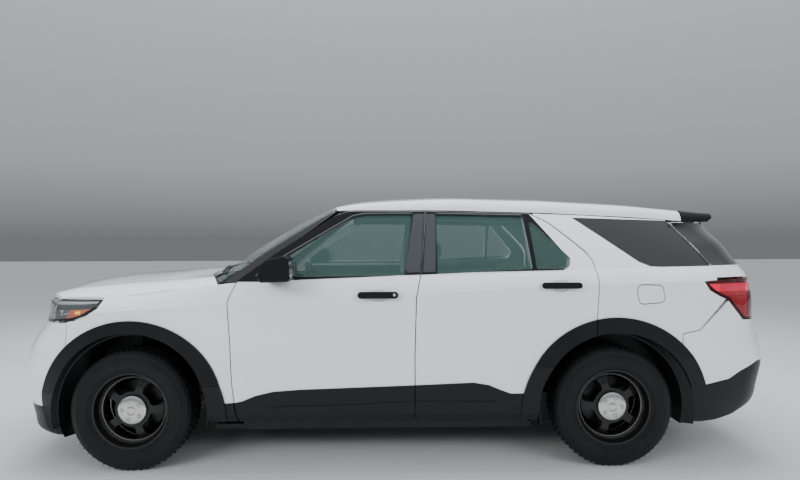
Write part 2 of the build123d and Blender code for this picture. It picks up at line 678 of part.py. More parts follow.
def liftgate():
    lower = box(2000, 2600, -646, 646, 790, 1192)
    region = across(GATE_SIDE) + lower
    glass_skin = end_wall(GATE, TAIL_SEAM, -20, 7)
    shell = (end_wall(GATE, TAIL_SEAM, 0, 52) & region) - (glass_skin & across(GATE_GLASS))
    view = prism([(2150, 1292), (2600, 1292), (2600, 1540), (2100, 1540)], -560, 560)
    shell = shell - view
    glass = end_wall(GATE, TAIL_SEAM, 1, 6.9) & across(GATE_GLASS)
    return shell, glass


def spoiler():
    wing = [(1980, 1556), (2196, 1556), (2238, 1582), (2260, 1582), (2260, 1720), (1980, 1720)]
    return arched_panel(SPOILER, 0, 130) & across(wing)


def tyre(x, y):
    half = TYRE_WIDTH / 2
    section = [
        (-half + 22, RIM_RADIUS), (-half, 292), (-half + 6, 340), (-half + 30, TYRE_RADIUS - 4), (0, TYRE_RADIUS),
        (half - 30, TYRE_RADIUS - 4), (half - 6, 340), (half, 292), (half - 22, RIM_RADIUS),
    ]
    face = make_face(Polyline(*[(r, w, 0) for w, r in section], close=True))
    return Pos(x, y, Z_WHEEL) * revolve(face, Axis.Y)


# Road wheel, from the hub out, with the outer face towards +Y: width from the centre plane, radius
RIM_SECTION = [
    (103, 238), (103, 226), (60, 216), (46, 196), (70, 150), (62, 92), (78, 88), (86, 60), (86, 0),
    (20, 0), (20, 62), (44, 92), (52, 150), (30, 190), (-60, 206), (-103, 226), (-103, 238),
]
WHEEL_WINDOWS = 5
WINDOW_INNER = 112.0
WINDOW_OUTER = 192.0
WINDOW_HALF_ANGLE = 26.0
LUGS = 5
LUG_CIRCLE = 57.0
# How far each pair of wheels stands rolled round, in degrees
WHEEL_TURN = {"front": -18.0, "rear": 18.0}


def wheel_window():
    """One kidney-shaped hole through the wheel's disc, above the hub."""
    a = math.radians(WINDOW_HALF_ANGLE)
    inner, outer = WINDOW_INNER, WINDOW_OUTER
    ring = [(r * math.sin(t), r * math.cos(t)) for r, t in ((inner, -a), (outer, -a), (outer, a), (inner, a))]
    edges = [
        Edge.make_line(Vector(ring[0][0], 0, ring[0][1]), Vector(ring[1][0], 0, ring[1][1])),
        Edge.make_three_point_arc(Vector(ring[1][0], 0, ring[1][1]), Vector(0, 0, outer), Vector(ring[2][0], 0, ring[2][1])),
        Edge.make_line(Vector(ring[2][0], 0, ring[2][1]), Vector(ring[3][0], 0, ring[3][1])),
        Edge.make_three_point_arc(Vector(ring[3][0], 0, ring[3][1]), Vector(0, 0, inner), Vector(ring[0][0], 0, ring[0][1])),
    ]
    hole = extrude(Face(Wire(edges)), amount=200, dir=(0, 1, 0), both=True)
    return fillet(hole.edges().filter_by(Axis.Y), 24)


def road_wheel(x, y, turn):
    face = make_face(Polyline(*[(r, w, 0) for w, r in RIM_SECTION], close=True))
    wheel = revolve(face, Axis.Y)
    hole = wheel_window()
    for k in range(WHEEL_WINDOWS):
        wheel = wheel - Rot(0, 360 / WHEEL_WINDOWS * k, 0) * hole
    hub = Pos(0, -30, 0) * Rot(90, 0, 0) * Cylinder(58, 120)
    rotor = Pos(0, -46, 0) * Rot(90, 0, 0) * Cylinder(168, 22)
    lugs = [Rot(0, 360 / LUGS * k, 0) * Pos(0, 86, LUG_CIRCLE) * Rot(90, 0, 0) * Cylinder(9, 14) for k in range(LUGS)]
    wheel = wheel + hub + rotor
    for lug in lugs:
        wheel = wheel + lug
    if y < 0:
        wheel = mirror(wheel, about=Plane.XZ)
    return Pos(x, y, Z_WHEEL) * Rot(0, turn, 0) * wheel


def knuckle():
    """Steered upright of the +Y side: it turns about a vertical king pin."""
    upright = box(X_FRONT - 28, X_FRONT + 28, 690, 722, 250, 512)
    lower_ear = box(X_FRONT - 22, X_FRONT + 22, 690, 752, 236, 262)
    spindle = Pos(X_FRONT, 706, Z_WHEEL) * Rot(90, 0, 0) * Cylinder(46, 58)
    arm = box(X_FRONT + 20, X_FRONT + 150, 694, 718, 340, 366)
    caliper = box(X_FRONT + 96, X_FRONT + 160, 700, 776, 330, 452)
    bridge = box(X_FRONT + 20, X_FRONT + 110, 700, 720, 366, 420)
    return upright + lower_ear + spindle + arm + bridge + caliper


def front_suspension():
    cradle = box(-1800, -1480, -430, 430, 190, 250)
    parts = [cradle]
    for side in (1, -1):
        arm = plan_prism([(-1780, 420), (-1500, 420), (-1620, 690), (-1670, 690)], 192, 226)
        strut = tube((X_FRONT, 640, 530), (X_FRONT, 612, 1000), 30)
        spring = tube((X_FRONT, 633, 640), (X_FRONT, 614, 960), 62)
        tower = box(X_FRONT - 90, X_FRONT + 90, 430, 700, 1000, 1030)
        brace = box(X_FRONT - 40, X_FRONT + 40, 430, 494, 540, 1000)
        foot = box(X_FRONT - 40, X_FRONT + 40, 400, 470, 240, 560)
        whole = arm + strut + spring + tower + brace + foot
        parts.append(whole if side > 0 else mirror(whole, about=Plane.XZ))
    return parts[0] + parts[1] + parts[2]


def rear_suspension():
    beam = box(X_REAR - 120, X_REAR + 120, -470, 470, 300, 372)
    whole = beam
    for side in (1, -1):
        arm = plan_prism([(X_REAR - 110, 460), (X_REAR + 110, 460), (X_REAR + 45, 720), (X_REAR - 45, 720)], 316, 352)
        carrier = box(X_REAR - 60, X_REAR + 60, 690, 726, 290, 470)
        damper = tube((X_REAR + 60, 630, 340), (X_REAR + 60, 630, 436), 28)
        spring = tube((X_REAR - 50, 560, 345), (X_REAR - 50, 560, 436), 55)
        unit = arm + carrier + damper + spring
        whole = whole + (unit if side > 0 else mirror(unit, about=Plane.XZ))
    return whole


def liner_space():
    return y_cylinder(X_FRONT, Z_WHEEL, 478, 400, 920)


def liner(x, y0, radius=466.0, thick=10.0, wall_z=500.0):
    """Inner wheel arch: a half barrel with an inner wall above the axle."""
    y1 = 912.0
    barrel = y_cylinder(x, Z_WHEEL, radius, y0, y1) - y_cylinder(x, Z_WHEEL, radius - thick, y0 - 1, y1 + 1)
    plate = y_cylinder(x, Z_WHEEL, radius, y0, y0 + 8)
    barrel = barrel & box(x - 600, x + 600, y0 - 5, y1 + 5, 260, 1000)
    if x < 0:
        barrel = barrel - Pos(x, 626, 840) * Cylinder(84, 90)
    plate = plate & box(x - 600, x + 600, y0 - 5, y1 + 5, wall_z, 1000)
    return barrel + plate


def floor_pan():
    plate = box(-1168, 900, -780, 780, 205, 235) + box(-1260, -1160, -494, 494, 205, 235)
    tunnel = box(-1240, 650, -150, 150, 235, 330)
    fire_wall = box(-1260, -1232, -494, 494, 205, 700) + box(-1260, -1232, -790, 790, 690, 1112)
    sill = box(-985, 860, 690, 796, 205, 330)
    sill_low = box(-960, 860, 780, 846, 256, 286)
    step = box(880, 910, -676, 676, 205, 466)
    cargo = box(880, 2356, -676, 676, 440, 466) + box(1862, 2330, -780, 780, 440, 466)
    back = box(2330, 2356, -640, 640, 390, 780)
    whole = plate + tunnel + fire_wall + step + cargo + back
    for item in both(sill + sill_low):
        whole = whole + item
    return whole


def seat(x, y, width):
    cushion = fillet((Pos(x, y, 540) * Box(500, width, 128)).edges().filter_by(Axis.Y), 40)
    back = Pos(x + 268, y, 900) * Rot(0, 14, 0) * Box(110, width, 640)
    back = fillet(back.edges(), 24)
    return cushion + back


def seats():
    found = []
    for side in (1, -1):
        y = side * 370
        body = seat(-60, y, 500) + box(-260, 170, y - 200, y + 200, 235, 480)
        rest = fillet((Pos(292, y, 1330) * Rot(0, 10, 0) * Box(100, 260, 190)).edges(), 30)
        posts = Pos(280, y, 1220) * Rot(0, 10, 0) * Box(16, 120, 120)
        found.append(body + posts + rest)
    found.append(seat(870, 0, 1240) + box(660, 872, -560, 560, 235, 480))
    return found


def dashboard():
    profile = [(-1090, 1120), (-780, 1150), (-690, 1110), (-650, 980), (-700, 860), (-1000, 820), (-1228, 900)]
    block = prism(profile, -700, 700)
    console = box(-780, -280, -110, 110, 332, 640)
    link = box(-790, -690, -110, 110, 600, 900)
    column = tube((-800, -370, 1000), (-610, -370, 1080), 32)
    return block + console + link + column


STEER_TILT = 24.0
STEER_CENTRE = (-560.0, -370.0, 1102.0)


def steering_wheel():
    ring = Torus(178, 15)
    hub = Cylinder(52, 40)
    spokes = Box(330, 34, 16) + Pos(0, -82, 0) * Box(34, 170, 16)
    wheel = ring + hub + spokes
    return Pos(*STEER_CENTRE) * Rot(0, 90 - STEER_TILT, 0) * Rot(0, 0, 90) * wheel


def exhaust():
    pipe = tube((-1290, 250, 160), (1700, 250, 166), 32)
    muffler = fillet((Pos(2080, 300, 330) * Box(330, 500, 150)).edges().filter_by(Axis.Y), 40)
    link = tube((1660, 250, 166), (1960, 250, 320), 32)
    tip = tube((2200, 440, 310), (2400, 440, 318), 34)
    return pipe + link + muffler + tip


def fuel_door_parts():
    """The fuel door and the pocket it closes, on the -Y side."""
    lid = side_wall((0, 0, 0), (6, 6, 6)) & grown_prism(FUEL_DOOR, -3.0, FUEL_DOOR_CORNER)
    pocket = side_wall((-20, -20, -20), (51, 51, 51)) & grown_prism(FUEL_DOOR, 3.0, FUEL_DOOR_CORNER)
    return mirror(lid, about=Plane.XZ), mirror(pocket, about=Plane.XZ)


def build():
    door, glass, trim = front_door()
    pair = {"right": 1, "left": -1}
    for side, sign in pair.items():
        flip = (lambda s: s) if sign > 0 else (lambda s: mirror(s, about=Plane.XZ))
        save(f"front_door_{side}", flip(door))
        save(f"front_door_glass_{side}", flip(glass))
        save(f"front_door_trim_{side}", [flip(t) for t in trim])
    mirror_shell = door_mirror() - side_wall((0, 0, 0), (200, 200, 200))
    for side, sign in pair.items():
        save(f"mirror_{side}", mirror_shell if sign > 0 else mirror(mirror_shell, about=Plane.XZ))
    door, panes, trim = rear_door()
    for side, sign in pair.items():
        flip = (lambda s: s) if sign > 0 else (lambda s: mirror(s, about=Plane.XZ))
        save(f"rear_door_{side}", flip(door))
        save(f"rear_door_glass_{side}", [flip(p) for p in panes])
        save(f"rear_door_trim_{side}", [flip(t) for t in trim])

    wall, quarter_glass = quarter()
    lid, pocket = fuel_door_parts()
    left_wall = mirror(wall, about=Plane.XZ) - pocket
    save("body_sides", wall, left_wall)
    save("fuel_door", lid)
    save("pillars", *[both(p) for p in pillars()])
    save("fenders", both(fender()))
    front_lip, rear_lip = flares()
    save("arch_flares", both(front_lip), both(rear_lip))
    save("roof_panel", roof())
    save("hood", hood())
    cover, skirt, grille, lamps = nose_parts()
    rear_cover, rear_skirt, rear_lamps = tail_parts()
    limits = box(X_NOSE, X_TAIL, -SIDE_SPAN, SIDE_SPAN, 0, 1500)
    save("bumper_covers", cover & limits, rear_cover & limits)
    save("bumper_skirts", skirt & limits, rear_skirt & limits)
    save("grille", grille)
    save("headlamps", *lamps)
    save("tail_lamps", rear_lamps)
    screen = Solid.make_loft([screen_section(row, SCREEN_DEPTH) for row in WINDSHIELD])
    screen = screen - (arched_panel(ROOF, -120, 27) - roof_front(-4.0))
    save("windshield", screen)
    save("quarter_glass", both(quarter_glass))
    cowl = bent_plan([(-1160, -868), (-1380, 0), (-1160, 868)], [(-1110, -800), (-1275, 0), (-1110, 800)], 1122, 1164)
    save("cowl", cowl - hood_space())
    gate, gate_glass = liftgate()
    save("liftgate", gate)
    save("liftgate_glass", gate_glass)
    save("spoiler", spoiler())
    for name, x in (("front", X_FRONT), ("rear", X_REAR)):
        for side, sign in pair.items():
            save(f"tyre_{name}_{side}", tyre(x, sign * Y_WHEEL))
            save(f"wheel_{name}_{side}", road_wheel(x, sign * Y_WHEEL, WHEEL_TURN[name]))
    for side, item in zip(("right", "left"), both(knuckle())):
        save(f"knuckle_{side}", item)
    save("front_suspension", front_suspension())
    save("rear_suspension", rear_suspension())
    save("wheel_liners", both(liner(X_FRONT, 500.0, 476.0)), both(liner(X_REAR, 682.0)))
    save("floor_pan", floor_pan())
    save("engine", fillet(box(-1900, -1330, -290, 290, 300, 880).edges().filter_by(Axis.Z), 40))
    save("exhaust", exhaust())
    save("seats", seats())
    save("dashboard", dashboard())
    save("steering_wheel", steering_wheel())


build()
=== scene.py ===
# %% [markdown]
# A white patrol car, dressed in Blender over its CAD model. The first cell loads it and keeps its size.

# %% Load the CAD model
import json
import math

import bmesh
import bpy
from mathutils import Matrix, Vector


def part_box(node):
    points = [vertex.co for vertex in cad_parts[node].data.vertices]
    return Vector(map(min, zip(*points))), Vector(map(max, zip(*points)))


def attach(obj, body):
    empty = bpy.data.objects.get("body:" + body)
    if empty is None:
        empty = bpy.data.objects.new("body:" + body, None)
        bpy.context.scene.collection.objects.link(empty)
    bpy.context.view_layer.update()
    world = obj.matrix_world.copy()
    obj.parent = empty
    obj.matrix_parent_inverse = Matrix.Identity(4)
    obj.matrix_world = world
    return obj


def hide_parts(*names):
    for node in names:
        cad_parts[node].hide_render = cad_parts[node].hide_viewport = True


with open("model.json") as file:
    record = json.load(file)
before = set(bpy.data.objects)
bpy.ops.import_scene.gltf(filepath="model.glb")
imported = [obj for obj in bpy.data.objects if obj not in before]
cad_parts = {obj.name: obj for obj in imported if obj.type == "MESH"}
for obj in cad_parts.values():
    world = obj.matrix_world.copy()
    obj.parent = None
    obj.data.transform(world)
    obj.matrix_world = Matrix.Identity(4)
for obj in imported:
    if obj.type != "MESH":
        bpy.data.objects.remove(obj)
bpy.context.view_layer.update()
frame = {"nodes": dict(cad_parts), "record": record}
nodes = frame["nodes"]
print("loaded", len(nodes), "nodes")

# %% [markdown]
# The photograph was taken from the driver's side, level with the middle of the car and at eye height. A
# wide lens close to the car gives the strong perspective of the wheels, so the camera stands where the
# photographer did and is not moved back.

# %% Camera
EYE = Vector((-0.027, -4.331, 1.451))
YAW, PITCH, ROLL = math.radians(1.03), math.radians(-0.26), math.radians(-0.14)
FOCAL_PIXELS, FRAME_WIDTH = 540.0, 800.0

camera_data = bpy.data.cameras.new("studio_camera")
camera_data.sensor_width = 36.0
camera_data.lens = FOCAL_PIXELS / FRAME_WIDTH * 36.0
camera_data.clip_start, camera_data.clip_end = 0.05, 100.0
camera = bpy.data.objects.new("studio_camera", camera_data)
bpy.context.scene.collection.objects.link(camera)
ahead = Vector((math.sin(YAW) * math.cos(PITCH), math.cos(YAW) * math.cos(PITCH), math.sin(PITCH)))
right = Vector((math.cos(YAW), -math.sin(YAW), 0.0))
up = right.cross(ahead)
right_rolled = right * math.cos(ROLL) + up * math.sin(ROLL)
up_rolled = up * math.cos(ROLL) - right * math.sin(ROLL)
turn = Matrix((right_rolled, up_rolled, -ahead)).transposed().to_4x4()
camera.matrix_world = Matrix.Translation(EYE) @ turn
bpy.context.scene.camera = camera
print("lens", round(camera_data.lens, 1), "mm")

# %% [markdown]
# The studio is a pale floor and large soft lights, so that the white paint keeps its shape: one big light
# overhead, two behind the camera that are weaker, and one on the far side. They light the car but are not
# mirrored in it, so the glass and the paint reflect only the even sky, as they do under cloud.

# %% Floor, world and lights
def plain_material(name, colour, roughness):
    made = bpy.data.materials.new(name)
    made.use_nodes = True
    shader = made.node_tree.nodes["Principled BSDF"]
    shader.inputs["Base Color"].default_value = (*colour, 1.0)
    shader.inputs["Roughness"].default_value = roughness
    return made


def nothing_selected():
    for item in bpy.context.selected_objects:
        item.select_set(False)


nothing_selected()
bpy.ops.mesh.primitive_plane_add(size=60.0, location=(0, 0, 0))
floor = bpy.context.object
floor.name = "studio_floor"
floor.data.materials.append(plain_material("pale_floor", (0.56, 0.57, 0.57), 0.75))

# The sky over the studio: pale overhead, darker near the floor, so that upright panels stay deep in colour
world = bpy.data.worlds.new("soft_studio")
world.use_nodes = True
sky = world.node_tree
direction = sky.nodes.new("ShaderNodeSeparateXYZ")
sky.links.new(sky.nodes.new("ShaderNodeTexCoord").outputs["Generated"], direction.inputs[0])
ramp = sky.nodes.new("ShaderNodeValToRGB")
ramp.color_ramp.elements[0].position, ramp.color_ramp.elements[0].color = 0.0, (0.19, 0.20, 0.21, 1.0)
ramp.color_ramp.elements[1].position, ramp.color_ramp.elements[1].color = 0.75, (0.86, 0.92, 0.98, 1.0)
ramp.color_ramp.elements.new(0.12).color = (0.42, 0.44, 0.46, 1.0)
sky.links.new(direction.outputs["Z"], ramp.inputs["Fac"])
sky.links.new(ramp.outputs["Color"], sky.nodes["Background"].inputs["Color"])
sky.nodes["Background"].inputs["Strength"].default_value = 0.9
bpy.context.scene.world = world

# name, place, point it looks at, size across and up, power
LIGHTS = [
    ("overhead_softbox", (0.0, 0.5, 5.5), (0.0, 0.0, 0.0), 7.0, 3.0, 400.0),
    ("front_side_softbox", (-5.0, -6.5, 4.2), (-0.5, 0.0, 0.8), 5.0, 2.0, 330.0),
    ("rear_side_softbox", (5.5, -6.5, 4.2), (1.0, 0.0, 0.8), 5.0, 2.0, 230.0),
    ("far_side_softbox", (0.0, 6.0, 3.6), (0.0, 0.0, 1.0), 7.0, 2.0, 260.0),
]
for name, place, target, width, height, power in LIGHTS:
    light_data = bpy.data.lights.new(name, "AREA")
    light_data.shape = "RECTANGLE"
    light_data.size, light_data.size_y, light_data.energy = width, height, power
    light = bpy.data.objects.new(name, light_data)
    light.location = place
    light.rotation_mode = "QUATERNION"
    light.rotation_quaternion = (Vector(target) - Vector(place)).to_track_quat("-Z", "Y")
    light.visible_glossy = False
    bpy.context.scene.collection.objects.link(light)
print("lights", len(LIGHTS))

# %% [markdown]
# Several finishes share the same small effects: the slight waviness of sprayed paint, road dust that
# gathers low down, and the pebbled grain of moulded plastic. Each effect is one node group with named
# sockets, built once and then placed in every finish that needs it with its own values. The shaders
# themselves stay in the materials.

# %% Helpers for node groups
def new_group(name, inputs, outputs):
    """A shader group. inputs and outputs are (name, kind, default)."""
    group = bpy.data.node_groups.new(name, "ShaderNodeTree")
    kinds = {"colour": "NodeSocketColor", "value": "NodeSocketFloat", "vector": "NodeSocketVector"}
    for label, kind, default in inputs:
        socket = group.interface.new_socket(name=label, in_out="INPUT", socket_type=kinds[kind])
        if default is not None:
            socket.default_value = default
    for label, kind in outputs:
        group.interface.new_socket(name=label, in_out="OUTPUT", socket_type=kinds[kind])
    group.nodes.new("NodeGroupInput").name = "in"
    group.nodes.new("NodeGroupOutput").name = "out"
    return group


def add(tree, kind, **values):
    """A node with its properties set; a name that is a socket sets that socket."""
    node = tree.nodes.new(kind)
    for key, value in values.items():
        if hasattr(node, key):
            setattr(node, key, value)
        else:
            node.inputs[key.replace("_", " ").title()].default_value = value
    return node


def object_point(tree):
    return add(tree, "ShaderNodeTexCoord").outputs["Object"]


# %% Sprayed paint: a long soft waviness and dust near the road
spray = new_group(
    "sprayed_paint",
    [("Paint", "colour", (0.8, 0.8, 0.8, 1)), ("Dust", "colour", (0.5, 0.47, 0.42, 1)),
     ("Dust Amount", "value", 0.2), ("Gloss", "value", 0.12)],
    [("Colour", "colour"), ("Roughness", "value"), ("Height", "value")],
)
g_in, g_out = spray.nodes["in"], spray.nodes["out"]
point = object_point(spray)
split = add(spray, "ShaderNodeSeparateXYZ")
spray.links.new(point, split.inputs[0])
low = add(spray, "ShaderNodeMapRange")
low.inputs["From Min"].default_value, low.inputs["From Max"].default_value = 0.75, 0.18
spray.links.new(split.outputs["Z"], low.inputs["Value"])
specks = add(spray, "ShaderNodeTexNoise")
specks.inputs["Scale"].default_value, specks.inputs["Detail"].default_value = 9.0, 6.0
spray.links.new(point, specks.inputs["Vector"])
dust_mask = add(spray, "ShaderNodeMath", operation="MULTIPLY")
spray.links.new(low.outputs[0], dust_mask.inputs[0])
spray.links.new(specks.outputs["Fac"], dust_mask.inputs[1])
dust_amount = add(spray, "ShaderNodeMath", operation="MULTIPLY")
spray.links.new(dust_mask.outputs[0], dust_amount.inputs[0])
spray.links.new(g_in.outputs["Dust Amount"], dust_amount.inputs[1])
tint = add(spray, "ShaderNodeMix", data_type="RGBA")
spray.links.new(dust_amount.outputs[0], tint.inputs["Factor"])
spray.links.new(g_in.outputs["Paint"], tint.inputs[6])
spray.links.new(g_in.outputs["Dust"], tint.inputs[7])
rough = add(spray, "ShaderNodeMath", operation="MULTIPLY_ADD")
spray.links.new(dust_amount.outputs[0], rough.inputs[0])
rough.inputs[1].default_value = 0.9
spray.links.new(g_in.outputs["Gloss"], rough.inputs[2])
peel = add(spray, "ShaderNodeTexNoise")
peel.inputs["Scale"].default_value, peel.inputs["Detail"].default_value = 260.0, 1.0
spray.links.new(point, peel.inputs["Vector"])
spray.links.new(tint.outputs[2], g_out.inputs["Colour"])
spray.links.new(rough.outputs[0], g_out.inputs["Roughness"])
spray.links.new(peel.outputs["Fac"], g_out.inputs["Height"])

# %% Moulded grain: fine pebbles, with the colour worn a little paler in patches
grain = new_group(
    "moulded_grain",
    [("Colour", "colour", (0.03, 0.03, 0.03, 1)), ("Worn", "colour", (0.09, 0.09, 0.09, 1)),
     ("Pebble Size", "value", 900.0), ("Roughness", "value", 0.5), ("Wear", "value", 0.3)],
    [("Colour", "colour"), ("Roughness", "value"), ("Height", "value")],
)
g_in, g_out = grain.nodes["in"], grain.nodes["out"]
point = object_point(grain)
pebbles = add(grain, "ShaderNodeTexVoronoi")
grain.links.new(point, pebbles.inputs["Vector"])
grain.links.new(g_in.outputs["Pebble Size"], pebbles.inputs["Scale"])
patches = add(grain, "ShaderNodeTexNoise")
patches.inputs["Scale"].default_value, patches.inputs["Detail"].default_value = 6.0, 8.0
grain.links.new(point, patches.inputs["Vector"])
patch_mask = add(grain, "ShaderNodeMapRange")
patch_mask.inputs["From Min"].default_value, patch_mask.inputs["From Max"].default_value = 0.42, 0.75
grain.links.new(patches.outputs["Fac"], patch_mask.inputs["Value"])
worn = add(grain, "ShaderNodeMath", operation="MULTIPLY")
grain.links.new(patch_mask.outputs[0], worn.inputs[0])
grain.links.new(g_in.outputs["Wear"], worn.inputs[1])
mixed = add(grain, "ShaderNodeMix", data_type="RGBA")
grain.links.new(worn.outputs[0], mixed.inputs["Factor"])
grain.links.new(g_in.outputs["Colour"], mixed.inputs[6])
grain.links.new(g_in.outputs["Worn"], mixed.inputs[7])
rough = add(grain, "ShaderNodeMath", operation="MULTIPLY_ADD")
grain.links.new(worn.outputs[0], rough.inputs[0])
rough.inputs[1].default_value = 0.25
grain.links.new(g_in.outputs["Roughness"], rough.inputs[2])
grain.links.new(mixed.outputs[2], g_out.inputs["Colour"])
grain.links.new(rough.outputs[0], g_out.inputs["Roughness"])
grain.links.new(pebbles.outputs["Distance"], g_out.inputs["Height"])
print("groups", [g.name for g in bpy.data.node_groups])


# %% [markdown]
# A finish is a Principled shader fed by one of the groups. The height output goes through a Bump node, whose
# distance is the real depth of the grain in metres, so it looks right from any distance.

# %% A finish made from a group
def finish(name, group, values, bump=0.00002, **shader_values):
    made = bpy.data.materials.new(name)
    made.use_nodes = True
    tree = made.node_tree
    shader = tree.nodes["Principled BSDF"]
    effect = tree.nodes.new("ShaderNodeGroup")
    effect.node_tree = group
    for label, value in values.items():
        effect.inputs[label].default_value = value
    tree.links.new(effect.outputs["Colour"], shader.inputs["Base Color"])
    tree.links.new(effect.outputs["Roughness"], shader.inputs["Roughness"])
    relief = tree.nodes.new("ShaderNodeBump")
    relief.inputs["Distance"].default_value = bump
    relief.inputs["Strength"].default_value = 1.0
    tree.links.new(effect.outputs["Height"], relief.inputs["Height"])
    tree.links.new(relief.outputs["Normal"], shader.inputs["Normal"])
    for label, value in shader_values.items():
        shader.inputs[SHADER_SOCKETS.get(label, label.replace("_", " ").title())].default_value = value
    return made


SHADER_SOCKETS = {"specular_ior_level": "Specular IOR Level"}
white_paint = finish(
    "white_paint", spray, {"Paint": (0.80, 0.82, 0.84, 1), "Dust Amount": 0.25, "Gloss": 0.16},
    bump=0.00001, coat_weight=1.0, coat_roughness=0.03,
)
dark_paint = finish(
    "dark_paint", spray, {"Paint": (0.004, 0.004, 0.005, 1), "Dust Amount": 0.03, "Gloss": 0.3},
    bump=0.00001, specular_ior_level=0.3,
)
black_plastic = finish(
    "black_plastic", grain,
    {"Colour": (0.0045, 0.005, 0.0055, 1), "Worn": (0.010, 0.011, 0.012, 1), "Roughness": 0.38},
    bump=0.00006, specular_ior_level=0.28,
)
gloss_black = finish(
    "gloss_black", spray, {"Paint": (0.003, 0.003, 0.0035, 1), "Dust Amount": 0.02, "Gloss": 0.08},
    bump=0.00001, specular_ior_level=0.5, coat_weight=0.4, coat_roughness=0.03,
)
cabin_plastic = finish(
    "cabin_plastic", grain,
    {"Colour": (0.012, 0.012, 0.013, 1), "Worn": (0.02, 0.02, 0.021, 1), "Roughness": 0.55,
     "Pebble Size": 700.0},
    bump=0.0001, specular_ior_level=0.35,
)
wheel_steel = finish(
    "wheel_steel", spray,
    {"Paint": (0.0035, 0.0035, 0.004, 1), "Dust": (0.10, 0.09, 0.08, 1), "Dust Amount": 0.08,
     "Gloss": 0.26},
    bump=0.00002, specular_ior_level=0.4,
)
# nearly black: partly the underbody's dark coating and partly painted shade under the car, where little light
# reaches
chassis_steel = finish(
    "chassis_steel", grain,
    {"Colour": (0.006, 0.006, 0.006, 1), "Worn": (0.02, 0.016, 0.013, 1), "Wear": 0.6, "Roughness": 0.5,
     "Pebble Size": 300.0},
    bump=0.0002, metallic=0.2, specular_ior_level=0.3,
)
cast_alloy = finish(
    "cast_alloy", grain,
    {"Colour": (0.30, 0.30, 0.30, 1), "Worn": (0.42, 0.42, 0.42, 1), "Roughness": 0.45,
     "Pebble Size": 400.0},
    bump=0.0002, metallic=0.9,
)
tyre_rubber = finish(
    "tyre_rubber", grain,
    {"Colour": (0.0055, 0.006, 0.0065, 1), "Worn": (0.014, 0.014, 0.014, 1), "Wear": 0.5, "Roughness": 0.48,
     "Pebble Size": 1200.0},
    bump=0.00005, specular_ior_level=0.25,
)
seat_fabric = finish(
    "seat_fabric", grain,
    {"Colour": (0.018, 0.018, 0.020, 1), "Worn": (0.035, 0.035, 0.038, 1), "Roughness": 0.9,
     "Pebble Size": 1500.0},
    bump=0.0003, sheen_weight=0.3, specular_ior_level=0.3,
)

# %% [markdown]
# Window glass is a thin green-tinted pane that shows the cabin, and the rear quarter and tailgate panes are
# nearly black privacy glass. Transmission with the real index of refraction would bend the view in a solid
# pane, so the panes are see-through by alpha, with the shader's own gloss on top.

# %% Glass and lamps
def pane(name, colour, clear, roughness=0.02):
    made = bpy.data.materials.new(name)
    made.use_nodes = True
    tree = made.node_tree
    shader = tree.nodes["Principled BSDF"]
    shader.inputs["Roughness"].default_value = roughness
    shader.inputs["Alpha"].default_value = 1.0 - clear
    shader.inputs["Coat Weight"].default_value = 1.0
    shader.inputs["Coat Roughness"].default_value = 0.01
    streaks = add(tree, "ShaderNodeTexNoise")
    streaks.inputs["Scale"].default_value = 3.0
    tree.links.new(object_point(tree), streaks.inputs["Vector"])
    shade = add(tree, "ShaderNodeMix", data_type="RGBA")
    shade.inputs[6].default_value = (*colour, 1.0)
    shade.inputs[7].default_value = (*[c * 1.25 for c in colour], 1.0)
    tree.links.new(streaks.outputs["Fac"], shade.inputs["Factor"])
    tree.links.new(shade.outputs[2], shader.inputs["Base Color"])
    return made


window_glass = pane("window_glass", (0.05, 0.12, 0.105), 0.70)
dark_glass = pane("dark_glass", (0.0035, 0.004, 0.0045), 0.04)
lamp_clear = pane("lamp_clear", (0.075, 0.080, 0.088), 0.0, 0.05)
lamp_red = pane("lamp_red", (0.30, 0.004, 0.010), 0.0, 0.05)

SLOT_FINISHES = {
    "white_paint": white_paint, "dark_paint": dark_paint, "black_plastic": black_plastic,
    "lamp_clear": lamp_clear, "lamp_red": lamp_red, "window_glass": window_glass, "dark_glass": dark_glass,
    "cast_alloy": cast_alloy, "chassis_steel": chassis_steel, "seat_fabric": seat_fabric,
    "cabin_plastic": cabin_plastic, "tyre_rubber": tyre_rubber, "wheel_steel": wheel_steel,
}
for entry in frame["record"]["subparts"]:
    node = nodes[entry["node"]]
    node.data.materials.clear()
    node.data.materials.append(SLOT_FINISHES[entry["material_slot"]])
print("finishes", len(SLOT_FINISHES))

# %% [markdown]
# Every new piece is modelled as by hand: a primitive at its size and place, opened in edit mode, shaped
# with operators and closed again. These helpers open a piece, select part of it by a rule, and close it:
# doubles merged, normals facing out, edges sharper than an angle kept crisp, a finish given, and the piece
# tied to a CAD body.

# %% Helpers for modelling
def start(name, kind, **place):
    """A new primitive, alone in the selection and open in edit mode, its origin at the scene's origin."""
    nothing_selected()
    scale = place.pop("scale", (1.0, 1.0, 1.0))
    getattr(bpy.ops.mesh, f"primitive_{kind}_add")(**place)
    piece = bpy.context.object
    piece.name = name
    piece.scale = scale
    bpy.ops.object.transform_apply(location=True, rotation=True, scale=True)
    bpy.context.tool_settings.mesh_select_mode = (True, False, False)
    bpy.ops.object.mode_set(mode="EDIT")
    bpy.ops.mesh.select_all(action="SELECT")
    return piece


def pick(kind, rule):
    """Select the verts, edges or faces of the open piece that the rule accepts; gives how many."""
    shape = bmesh.from_edit_mesh(bpy.context.object.data)
    bpy.ops.mesh.select_all(action="DESELECT")
    bpy.context.tool_settings.mesh_select_mode = (kind == "verts", kind == "edges", kind == "faces")
    chosen = [item for item in getattr(shape, kind) if rule(item)]
    for item in chosen:
        item.select_set(True)
    shape.select_flush_mode()
    bmesh.update_edit_mesh(bpy.context.object.data)
    return len(chosen)


